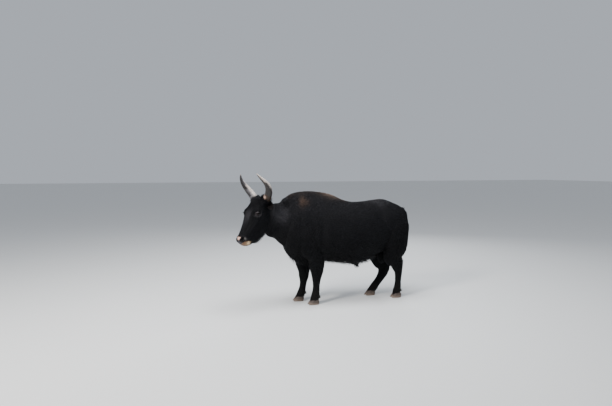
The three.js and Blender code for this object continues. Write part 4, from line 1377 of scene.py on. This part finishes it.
def eyelids(word, side):
    centre, gaze, ahead, up = gaze_frame(side)
    made = []
    for share, height in LID + LID_BORDER:
        x, y = almond(share)
        flat = x[:, None] * ahead + y[:, None] * up
        deep = np.sqrt(np.maximum(EYE_RADIUS**2 - x**2 - y**2, (5 * MM) ** 2))
        on_ball = centre + unit(flat + deep[:, None] * gaze) * (EYE_RADIUS + height * MM)
        hits = [skin_tree.ray_cast(Vector(centre + f + 0.08 * gaze), Vector(-gaze))[0] for f in flat]
        on_skin = np.array([h if h else p for h, p in zip(hits, on_ball)]) + height * MM * gaze
        blend = step_up(np.array(share), 1.15, 1.9)
        made.append(on_ball * (1 - blend) + on_skin * blend)
    grid = np.array(made)
    quads = [f for f in grid_faces(len(grid), LID_SIDES) if len(f) == 4]
    lids = object_from(f"eyelids_{word}", grid.reshape(-1, 3), quads)
    if lids.data.polygons[LID_SIDES * 3].normal.dot(Vector(gaze)) < 0:
        lids.data.flip_normals()
    thicken = lids.modifiers.new("thickness", "SOLIDIFY")
    thicken.thickness = 2 * MM
    thicken.offset = -1
    finer = lids.modifiers.new("finer", "SUBSURF")
    finer.levels = 1
    finer.render_levels = 1
    apply_modifiers(lids)
    co = coordinates(lids)
    height = (co - centre) @ up
    along = (co - centre) @ ahead
    # painted highlight: the pale patch over the upper lid is a sheen; the pale arcs below and behind the eye
    # are the lid's own colour
    over = step_up(height, 9 * MM, 15 * MM) * step_down(np.abs(along - 10 * MM), 10 * MM, 24 * MM)
    under = groove(height + 17 * MM, 5 * MM) + groove(along - 27 * MM, 5 * MM) * (height < 6 * MM)
    tone = np.tile(NOSE_BLACK, (len(co), 1))
    tone += (LID_PALE_AND_SHEEN - tone) * np.clip(0.9 * over + 0.5 * under, 0, 1)[:, None]
    store(lids, tone=tone, flow=co, bare=np.full(len(co), LID_BARE))
    return lids


LASHES, LASH_WIDTH, LASH_BLACK = 46, 0.9 * MM, 0.006


def lashes(word, side):
    """Stiff curved lashes along the edge of the upper lid."""
    centre, gaze, ahead, up = gaze_frame(side)
    count = LASHES
    turn = rng.uniform(0.12, 0.88, count) * math.pi
    x = OPENING[0] * np.cos(turn)
    y = OPENING[1] * np.sin(turn)
    deep = np.sqrt(EYE_RADIUS**2 - x**2 - y**2)
    out = unit(x[:, None] * ahead + y[:, None] * up + deep[:, None] * gaze)
    root = centre + out * (EYE_RADIUS + 2 * MM)
    s = np.linspace(0, 1, 6)[None, :, None]
    long = rng.uniform(9, 15, count)[:, None, None] * MM
    fan = (x / OPENING[0])[:, None] * ahead
    path = root[:, None] + long * (s * (gaze * 0.8 + 0.5 * fan)[:, None] + (0.15 * s + 0.5 * s**2) * up)
    spots = {"root": root, "part": np.full(count, PART["head"])}
    wide = np.full(count, LASH_WIDTH)
    blades(f"lashes_{word}", path, out, wide, wide, spots, np.full((count, 3), LASH_BLACK))


eyeballs, lids = {}, {}
for word, side in SIDES.items():
    eyeballs[word] = eyeball(word, side)
    lids[word] = eyelids(word, side)
    lashes(word, side)

# %% [markdown]
# ## Horns
#
# A horn grows as a stack of sheaths, so it has rings that are strong at the base and fade towards a
# polished tip. It is a loft along a curve. The rings are real relief, uneven in height and spacing,
# because evenly spaced ones look turned on a lathe.

# %% Horns
HORN_BROWN = np.array([0.034, 0.021, 0.014])
HORN_PINK = np.array([0.52, 0.36, 0.29])
HORN_GREY = np.array([0.028, 0.024, 0.023])
HORN_SLATE = np.array([0.120, 0.115, 0.124])
# pale horn at the tips, also painted as highlights on the side the light comes from
HORN_PALE_AND_HIGHLIGHT = np.array([0.46, 0.40, 0.36])
HORN_DARK = np.array([0.010, 0.008, 0.008])
# the way the light comes from: zones facing it are painted highlights, and dark zones facing FORE are partly
# painted shade
LIGHT_SIDE = unit(np.array([-0.75, 0.25, 0.60]))
FORE = unit(np.array([0.95, -0.25, 0.10]))
ALL_ROUND = np.zeros(3)
# tone, where it starts and ends along the horn, the side it faces, how far from there it fades, share
HORN_ZONES = {
    "left": [
        (HORN_GREY, 0.26, 2, ALL_ROUND, -1, -0.5, 1.0),
        (HORN_PINK, -1, 0.20, FORE, 0.30, 0.70, 1.0),
        (HORN_PALE_AND_HIGHLIGHT, 0.05, 0.60, LIGHT_SIDE, 0.50, 0.85, 0.70),
        (HORN_PALE_AND_HIGHLIGHT, 0.50, 0.75, LIGHT_SIDE, 0.15, 0.70, 0.80),
        (HORN_PALE_AND_HIGHLIGHT, 0.70, 2, LIGHT_SIDE, -0.45, 0.35, 0.90),
        (HORN_PALE_AND_HIGHLIGHT, 0.95, 2, ALL_ROUND, -1, -0.5, 0.80),
    ],
    "right": [
        (HORN_SLATE, 0.13, 2, ALL_ROUND, -1, -0.5, 1.0),
        (HORN_PALE_AND_HIGHLIGHT, 0.11, 0.62, LIGHT_SIDE, 0.05, 0.70, 0.95),
        (HORN_DARK, 0.20, 0.50, FORE, -0.10, 0.50, 0.85),
        (HORN_DARK, 0.48, 0.96, FORE, -0.60, -0.10, 0.95),
        (HORN_PALE_AND_HIGHLIGHT, 0.60, 0.96, LIGHT_SIDE, 0.45, 0.85, 0.55),
        (HORN_PALE_AND_HIGHLIGHT, 0.95, 2, ALL_ROUND, -1, -0.5, 0.40),
    ],
}


def horn(word, side):
    """A horn from inside the skull to its tip, with its colours kept for each point."""
    rows = smooth_rows(HORN, 24) * MM
    centre = rows[:, :3] * [1, side, 1]
    along = unit(np.gradient(centre, axis=0))
    hint = np.array([1.0, 0, 0])
    across = unit(hint - (along @ hint)[:, None] * along)
    up = np.cross(along, across)
    way = np.linalg.norm(np.diff(centre, axis=0, prepend=centre[:1]), axis=1).cumsum()
    t = way / way[-1]
    rough = rng.uniform(0, 2 * math.pi, 3)
    ringed = np.sin(way / (5.2 * MM) + 1.2 * np.sin(way / (23 * MM) + rough[0]))
    slow = np.sin(way / (14 * MM) + rough[1])
    relief = (0.55 * ringed + 0.7 * slow) * MM * (1 - step_up(t, 0.25, 0.62))
    sides = 56
    turn = np.arange(sides) / sides * 2 * math.pi
    radius = rows[:, 3:4] - 0.8 * MM + relief[:, None] * (0.8 + 0.3 * np.cos(turn + rough[2]))[None]
    flat = np.cos(turn)[None, :, None] * across[:, None] + np.sin(turn)[None, :, None] * up[:, None]
    grid = from_head(centre[:, None] + radius[..., None] * flat)
    made = loft(f"horn_{word}_sheath", grid)
    place = np.repeat(t, sides)
    points = grid.reshape(-1, 3)
    facing = (flat @ HEAD_TURN.T).reshape(-1, 3)
    patchy = blotch(to_head(points) * [1, 1, 0.35], 70, 31)
    uneven = place + 0.08 * (patchy - 0.5)
    tone = np.tile(HORN_BROWN, (len(points), 1))
    for other, start, end, zone_side, low, high, share in HORN_ZONES[word]:
        share = share * step_up(uneven, start - 0.05, start + 0.05)
        share = share * step_down(uneven, end - 0.05, end + 0.05)
        # painted light: a zone that faces LIGHT_SIDE is a painted highlight, and the far horn's darks facing
        # FORE are partly its own dark band and partly painted shade
        share = share * step_up(facing @ zone_side, low, high) * (0.75 + 0.5 * patchy)
        tone = tone + (other - tone) * np.clip(share, 0, 1)[:, None]
    flow = np.stack([np.repeat(way, sides), np.tile(turn, len(t)) * 30 * MM, 0 * place], 1)
    store(made, tone=tone, flow=flow)
    return made


horns = {word: horn(word, side) for word, side in SIDES.items()}
print("horn points:", len(horns["left"].data.vertices))

# %% [markdown]
# ## Hooves and dewclaws
#
# Each foot has two claws with a narrow cleft between them, and two small dewclaws behind. The wall
# of a claw grows down from the hair in faint steps. The soles are flats at the floor.

# %% Hooves
CLAW_LENGTH, CLAW_HALF_WIDTH, CLAW_OFFSET = 128, 23, 28
# height, place ahead, reach to the toe and to the heel in lengths, width in half widths
CLAW = [
    (66, -7, 0.18, 0.24, 0.52),
    (60, -6, 0.25, 0.31, 0.70),
    (48, -2, 0.335, 0.41, 0.89),
    (28, 4, 0.42, 0.465, 0.97),
    (8, 9, 0.51, 0.465, 0.99),
    (2.2, 10, 0.512, 0.462, 0.98),
    (0, 10, 0.49, 0.44, 0.93),
]
WEAR = 0.7
HOOF_TOP = np.array([0.070, 0.050, 0.041])
HOOF_WORN = np.array([0.190, 0.140, 0.108])
DEWCLAW_TONE = np.array([0.026, 0.022, 0.020])


def claw(name, foot, side):
    """One claw, with growth steps in its wall."""
    rows = smooth_rows(CLAW, 10)
    rows[:, 0] = np.maximum(rows[:, 0], 0)
    z, ahead, toe, heel, wide = rows.T
    step = WEAR * np.sin(z / 1.9 + 0.6 * np.sin(z / 5)) * step_up(z, 4.0, 9.0)
    centre = np.stack([foot[0] + ahead, foot[1] + side * CLAW_OFFSET + 0 * z, z], 1) * MM
    across = np.tile([0.0, 1.0, 0.0], (len(z), 1))
    up = np.tile([1.0, 0.0, 0.0], (len(z), 1))
    half = (CLAW_HALF_WIDTH * wide + step - WEAR) * MM
    reach = (half, half, (CLAW_LENGTH * toe + step - WEAR) * MM, (CLAW_LENGTH * heel - WEAR) * MM)
    powers = (np.full(len(z), 1.7), np.full(len(z), 2.2))
    grid = rings(centre, across, up, reach, powers, 48) + SHIFT
    made = loft(name, grid)
    flow = np.stack([grid[..., 2], grid[..., 0], grid[..., 1]], -1).reshape(-1, 3)
    worn = step_down(grid[..., 2].ravel(), 0.004, 0.040) + 0.5 * blotch(flow, 60, 44) - 0.25
    tone = HOOF_TOP + (HOOF_WORN - HOOF_TOP) * np.clip(worn, 0, 1)[:, None]
    store(made, flow=flow, tone=tone)
    return made


# reach from the root, radius
DEWCLAW = [(-16, 6), (-10, 11), (0, 14), (14, 12.5), (24, 8.5), (30, 3)]
DEWCLAW_SPREAD, DEWCLAW_RISE, DEWCLAW_SINK, DEWCLAW_LEAN = 21, 14, 9, math.radians(68)


def dewclaw(name, fetlock, side):
    """A blunt cone behind the fetlock, from the leg's station there."""
    root = np.array(fetlock[:3]) + [DEWCLAW_SINK - fetlock[4], side * DEWCLAW_SPREAD, DEWCLAW_RISE]
    way = np.array([math.cos(DEWCLAW_LEAN), 0, math.sin(DEWCLAW_LEAN)])
    rows = [(*(root - reach * way), radius, radius, radius, radius) for reach, radius in DEWCLAW]
    grid = on_body(limb_rings(rows, 28, 5, grow=-0.5 * MM))
    made = loft(name, grid)
    store(made, flow=grid.reshape(-1, 3), tone=np.tile(DEWCLAW_TONE, (len(made.data.vertices), 1)))
    return made


claws = {}
for leg, rows in LEGS.items():
    leg_side = SIDES[leg.split("_")[1]]
    for word, side in (("inner", -leg_side), ("outer", leg_side)):
        claws[f"claw_{leg}_{word}"] = claw(f"hoof_{leg}_{word}", rows[-1], side)
        claws[f"dewclaw_{leg}_{word}"] = dewclaw(f"spur_{leg}_{word}", rows[FETLOCK], side)
print(len(claws), "claws and dewclaws")

# %% [markdown]
# ## Node groups that several finishes share
#
# Fine lines along a flow and slow unevenness are used by more than one material. Each is a node
# group with named inputs, made once. It gives out only a height or a factor, and the shader itself
# stays in the material.

# %% Nodes in one call
def add(tree, kind, inputs, **settings):
    """A node with its settings. Each input is a value, or another node's output to link."""
    node = tree.nodes.new("ShaderNode" + kind)
    for name, value in settings.items():
        setattr(node, name, value)
    feed(tree, node, inputs)
    return node


def feed(tree, node, inputs):
    """Sets or links the inputs of a node."""
    for socket, value in inputs.items():
        if isinstance(value, bpy.types.NodeSocket):
            tree.links.new(value, node.inputs[socket])
        else:
            node.inputs[socket].default_value = value


def new_group(name, inputs, outputs):
    """An empty shader group with its sockets."""
    group = bpy.data.node_groups.new(name, "ShaderNodeTree")
    for label, value in inputs.items():
        kind = "NodeSocketVector" if value is None else "NodeSocketFloat"
        socket = group.interface.new_socket(label, in_out="INPUT", socket_type=kind)
        if value is not None:
            socket.default_value = value
    for label in outputs:
        group.interface.new_socket(label, in_out="OUTPUT", socket_type="NodeSocketFloat")
    return group, group.nodes.new("NodeGroupInput").outputs, group.nodes.new("NodeGroupOutput")


# %% Shared node groups
def streak_group():
    """Fine lines along the flow of a piece, such as hair or grain."""
    inputs = {"Vector": None, "Lines per metre": 260.0, "Stretch": 0.08, "Depth of tone": 0.4}
    group, given, end = new_group("streaks", inputs, ("Height", "Tone"))
    squeeze = add(group, "CombineXYZ", {"X": given["Stretch"], "Y": 1.0, "Z": 1.0})
    along_and_squeeze = {0: given["Vector"], 1: squeeze.outputs["Vector"]}
    stretched = add(group, "VectorMath", along_and_squeeze, operation="MULTIPLY")
    places = {"Vector": stretched.outputs["Vector"], "Scale": given["Lines per metre"]}
    noise = add(group, "TexNoise", {**places, "Detail": 3.0, "Roughness": 0.6}).outputs["Fac"]
    depth = given["Depth of tone"]
    lower = add(group, "Math", {0: depth, 1: -0.5, 2: 1.0}, operation="MULTIPLY_ADD")
    swing = add(group, "Math", {0: noise, 1: depth, 2: lower.outputs[0]}, operation="MULTIPLY_ADD")
    feed(group, end, {"Height": noise, "Tone": swing.outputs[0]})
    return group


def mottle_group():
    """Slow unevenness of a surface, as a factor round 1."""
    group, given, end = new_group("mottle", {"Scale": 6.0, "Amount": 0.3}, ("Factor",))
    place = add(group, "TexCoord", {}).outputs["Object"]
    noise = add(group, "TexNoise", {"Detail": 5.0, "Vector": place, "Scale": given["Scale"]})
    centred = add(group, "Math", {0: noise.outputs["Fac"], 1: 0.5}, operation="SUBTRACT")
    inputs = {0: centred.outputs[0], 1: given["Amount"], 2: 1.0}
    scaled = add(group, "Math", inputs, operation="MULTIPLY_ADD")
    feed(group, end, {"Factor": scaled.outputs[0]})
    return group


STREAKS = streak_group()
MOTTLE = mottle_group()
print("groups:", STREAKS.name, MOTTLE.name)

# %% [markdown]
# ## Finishes
#
# Each material starts from the tone that its mesh carries and multiplies the groups into it. Hair is
# dark and fairly rough, with a sheen that turns cool where the coat is seen at a low angle, the bare
# nose is moist, horn has a dull polish along its grain, and the eye is wet.

# %% Helpers for materials
def new_material(name):
    """A material, its node tree and its shader."""
    material = bpy.data.materials.new(name)
    material.use_nodes = True
    return material, material.node_tree, material.node_tree.nodes["Principled BSDF"]


def attribute(tree, name, output="Fac"):
    """A value that the mesh carries at each point."""
    return add(tree, "Attribute", {}, attribute_name=name).outputs[output]


def streaks(tree, lines, stretch, depth):
    """The outputs of the group of fine lines, along the flow that the mesh carries."""
    inputs = {"Lines per metre": lines, "Stretch": stretch, "Depth of tone": depth}
    inputs["Vector"] = attribute(tree, "flow", "Vector")
    return add(tree, "Group", inputs, node_tree=STREAKS).outputs


def mottle(tree, scale, amount):
    """The factor of the group of slow unevenness."""
    return add(tree, "Group", {"Scale": scale, "Amount": amount}, node_tree=MOTTLE).outputs["Factor"]


def tinted(tree, *factors):
    """The tone that the mesh carries, times each of some numbers."""
    colour = attribute(tree, "tone", "Color")
    for factor in factors:
        inputs = {0: colour, "Scale": factor}
        colour = add(tree, "VectorMath", inputs, operation="SCALE").outputs["Vector"]
    return colour


def between(tree, share, low, high):
    """A number from low to high as the share goes from 0 to 1."""
    return add(tree, "MapRange", {"To Min": low, "To Max": high, "Value": share}).outputs["Result"]


def bump(tree, height, distance):
    """Normals for a relief that is so many metres high."""
    return add(tree, "Bump", {"Distance": distance, "Strength": 1.0, "Height": height}).outputs["Normal"]


# %% Hide
def hide_material():
    """Black skin under the fur, with pores where it is bare, and painted shade where hair covers it."""
    material, tree, shader = new_material("black_hide")
    bare = attribute(tree, "bare")
    hair = streaks(tree, 420.0, 0.10, 0.7)
    pores = add(tree, "TexVoronoi", {"Vector": add(tree, "TexCoord", {}).outputs["Object"], "Scale": 260.0})
    relief = add(tree, "Mix", {"Factor": bare, "A": hair["Height"], "B": pores.outputs["Distance"]})
    look = {
        # painted shade: the skin is darkened to six tenths where hair grows, for the shadow beneath the hair
        "Base Color": tinted(tree, hair["Tone"], mottle(tree, 9.0, 0.5), between(tree, bare, 0.60, 1.0)),
        "Normal": bump(tree, relief.outputs["Result"], 0.0025),
        "Roughness": between(tree, bare, 0.78, 0.40),
        "Specular IOR Level": 0.10,
        "Sheen Weight": 0.02,
        "Sheen Tint": (0.75, 0.82, 1.0, 1.0),
    }
    feed(tree, shader, look)
    return material


HIDE = hide_material()
print("finish", HIDE.name)


# %% Coat
def coat_material(name, roughness, fineness):
    """Hair that is a little lighter towards its tips."""
    material, tree, shader = new_material(name)
    hairs = streaks(tree, fineness, 0.04, 1.1)
    lighter = between(tree, attribute(tree, "tip"), 0.8, 1.35)
    rough = add(tree, "Math", {0: mottle(tree, 40.0, 0.5), 1: roughness}, operation="MULTIPLY")
    look = {
        "Base Color": tinted(tree, hairs["Tone"], mottle(tree, 9.0, 0.5), lighter),
        "Roughness": rough.outputs[0],
        "Normal": bump(tree, hairs["Height"], 0.0006),
        "Specular IOR Level": 0.10,
        "Sheen Weight": 0.02,
        "Sheen Tint": (0.72, 0.80, 1.0, 1.0),
    }
    feed(tree, shader, look)
    return material


COAT = coat_material("short_coat", 0.58, 1500.0)
LONG_HAIR = coat_material("long_hair", 0.52, 1200.0)
print("finishes", COAT.name, LONG_HAIR.name)


# %% Horn and hoof
def grown_material(name, lines, patches, relief, roughness, specular):
    """Horn in layers: lines of growth, slow patches, and a gloss that follows the lines."""
    material, tree, shader = new_material(name)
    grain = streaks(tree, *lines)
    look = {
        "Base Color": tinted(tree, grain["Tone"], mottle(tree, *patches)),
        "Normal": bump(tree, grain["Height"], relief),
        "Roughness": between(tree, grain["Height"], *roughness),
        "Specular IOR Level": specular,
    }
    feed(tree, shader, look)
    return material


HORN_FINISH = grown_material("grown_horn", (330.0, 0.06, 0.75), (26.0, 0.7), 0.0008, (0.32, 0.58), 0.28)
HOOF_FINISH = grown_material("worn_hoof", (190.0, 3.2, 1.1), (34.0, 1.1), 0.0012, (0.5, 0.75), 0.5)
print("finishes", HORN_FINISH.name, HOOF_FINISH.name)


# %% Eye
def eye_material():
    """A wet ball, dull under the shade of the brow."""
    material, tree, shader = new_material("wet_eye")
    look = {
        "Base Color": tinted(tree, mottle(tree, 420.0, 0.9)),
        "Roughness": 0.12,
        "Specular IOR Level": 0.09,
        "Coat Weight": 0.06,
        "Coat Roughness": 0.02,
    }
    feed(tree, shader, look)
    return material


EYE_FINISH = eye_material()
print("finish", EYE_FINISH.name)

# %% [markdown]
# ## Put the pieces on the frame
#
# Every piece rides on the one body of this still model. The skin stands for the solids of flesh, and
# horns, eyes and claws each stand for their own solid. Each is given its finish as a material.

# %% Ride, replace and finish
def fit(piece, material, slot, *nodes):
    """Gives a piece its material and its place in the frame."""
    piece.data.materials.clear()
    piece.data.materials.append(material)
    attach(piece, "root")
    if nodes:
        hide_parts(*nodes)


fit(skin, HIDE, "hide", "torso", "neck", "head", "tail", *LEGS)
LONG = ("fringe", "hair", "tuft", "brush", "feather", "lashes")
for piece in coat_pieces:
    is_long = any(word in piece.name for word in LONG) and "ear" not in piece.name
    fit(piece, LONG_HAIR if is_long else COAT, "hide")
for ear, word in zip(ears, SIDES):
    fit(ear, HIDE, "hide", f"ear_{word}")
    fit(lids[word], HIDE, "hide")
    fit(eyeballs[word], EYE_FINISH, "eye", f"eye_{word}")
    fit(horns[word], HORN_FINISH, "horn", f"horn_{word}")
for node, piece in claws.items():
    fit(piece, HOOF_FINISH, "hoof", node)
total = sum(len(p.data.polygons) for p in coat_pieces)
print(len(coat_pieces), "coat pieces with", total, "triangles")

# %% [markdown]
# ## Camera, floor and light
#
# The camera stands where the photograph was taken: a little ahead of the animal on his left side,
# 1.6 m above the floor. The floor is plain and pale, and large soft lights from above and
# from the side show the sheen of a dark coat without burning out the floor.

# %% Camera
CAMERA_PLACE = np.array([1897, 5680, 1600]) * MM + SHIFT
CAMERA_HEADING = np.array([-0.309, -0.951])
CAMERA_PITCH = math.radians(3.78)
FOCAL_PIXELS = 500
PHOTO_WIDTH = 612
SENSOR = 36.0

camera_data = bpy.data.cameras.new("camera")
camera_data.sensor_width = SENSOR
camera_data.lens = SENSOR * FOCAL_PIXELS / PHOTO_WIDTH
camera = in_scene("camera", camera_data)
camera.location = CAMERA_PLACE
look = Vector((*CAMERA_HEADING * math.cos(CAMERA_PITCH), -math.sin(CAMERA_PITCH)))
camera.rotation_euler = look.to_track_quat("-Z", "Y").to_euler()
bpy.context.scene.camera = camera
print("lens", round(camera_data.lens, 2), "mm")

# %% Floor
FLOOR_REACH = 60
floor_mesh = bpy.data.meshes.new("floor")
corners = [(FLOOR_REACH * x, FLOOR_REACH * y, 0) for x, y in ((-1, -1), (1, -1), (1, 1), (-1, 1))]
floor_mesh.from_pydata(corners, [], [(0, 1, 2, 3)])
floor = in_scene("floor", floor_mesh)
floor_finish, tree, shader = new_material("pale_floor")
feed(tree, shader, {"Base Color": (0.74, 0.74, 0.73, 1), "Roughness": 0.9})
floor_mesh.materials.append(floor_finish)
print("floor of", 2 * FLOOR_REACH, "m")

# %% Light
world = bpy.data.worlds.new("soft_room")
bpy.context.scene.world = world
world.use_nodes = True
background = world.node_tree.nodes["Background"]
feed(world.node_tree, background, {"Color": (0.80, 0.86, 0.95, 1), "Strength": 0.58})


def area_light(name, place, aim, size, power, colour):
    """A round soft lamp that is turned towards a point."""
    data = bpy.data.lights.new(name, "AREA")
    data.shape = "DISK"
    data.size = size
    data.energy = power
    data.color = colour
    lamp = in_scene(name, data)
    lamp.location = place
    lamp.rotation_euler = (Vector(aim) - Vector(place)).to_track_quat("-Z", "Y").to_euler()


area_light("overhead", (0.3, 0.6, 5.0), (0, 0, 0.9), 3.0, 280, (0.94, 0.97, 1.0))
area_light("sun", (5.2, 2.9, 4.6), (0.3, 0, 0.9), 1.6, 430, (1.0, 0.97, 0.93))
area_light("behind", (-3.0, -4.5, 3.5), (0, 0, 0.9), 2.5, 110, (0.92, 0.96, 1.0))
print(len(bpy.data.lights), "lights")
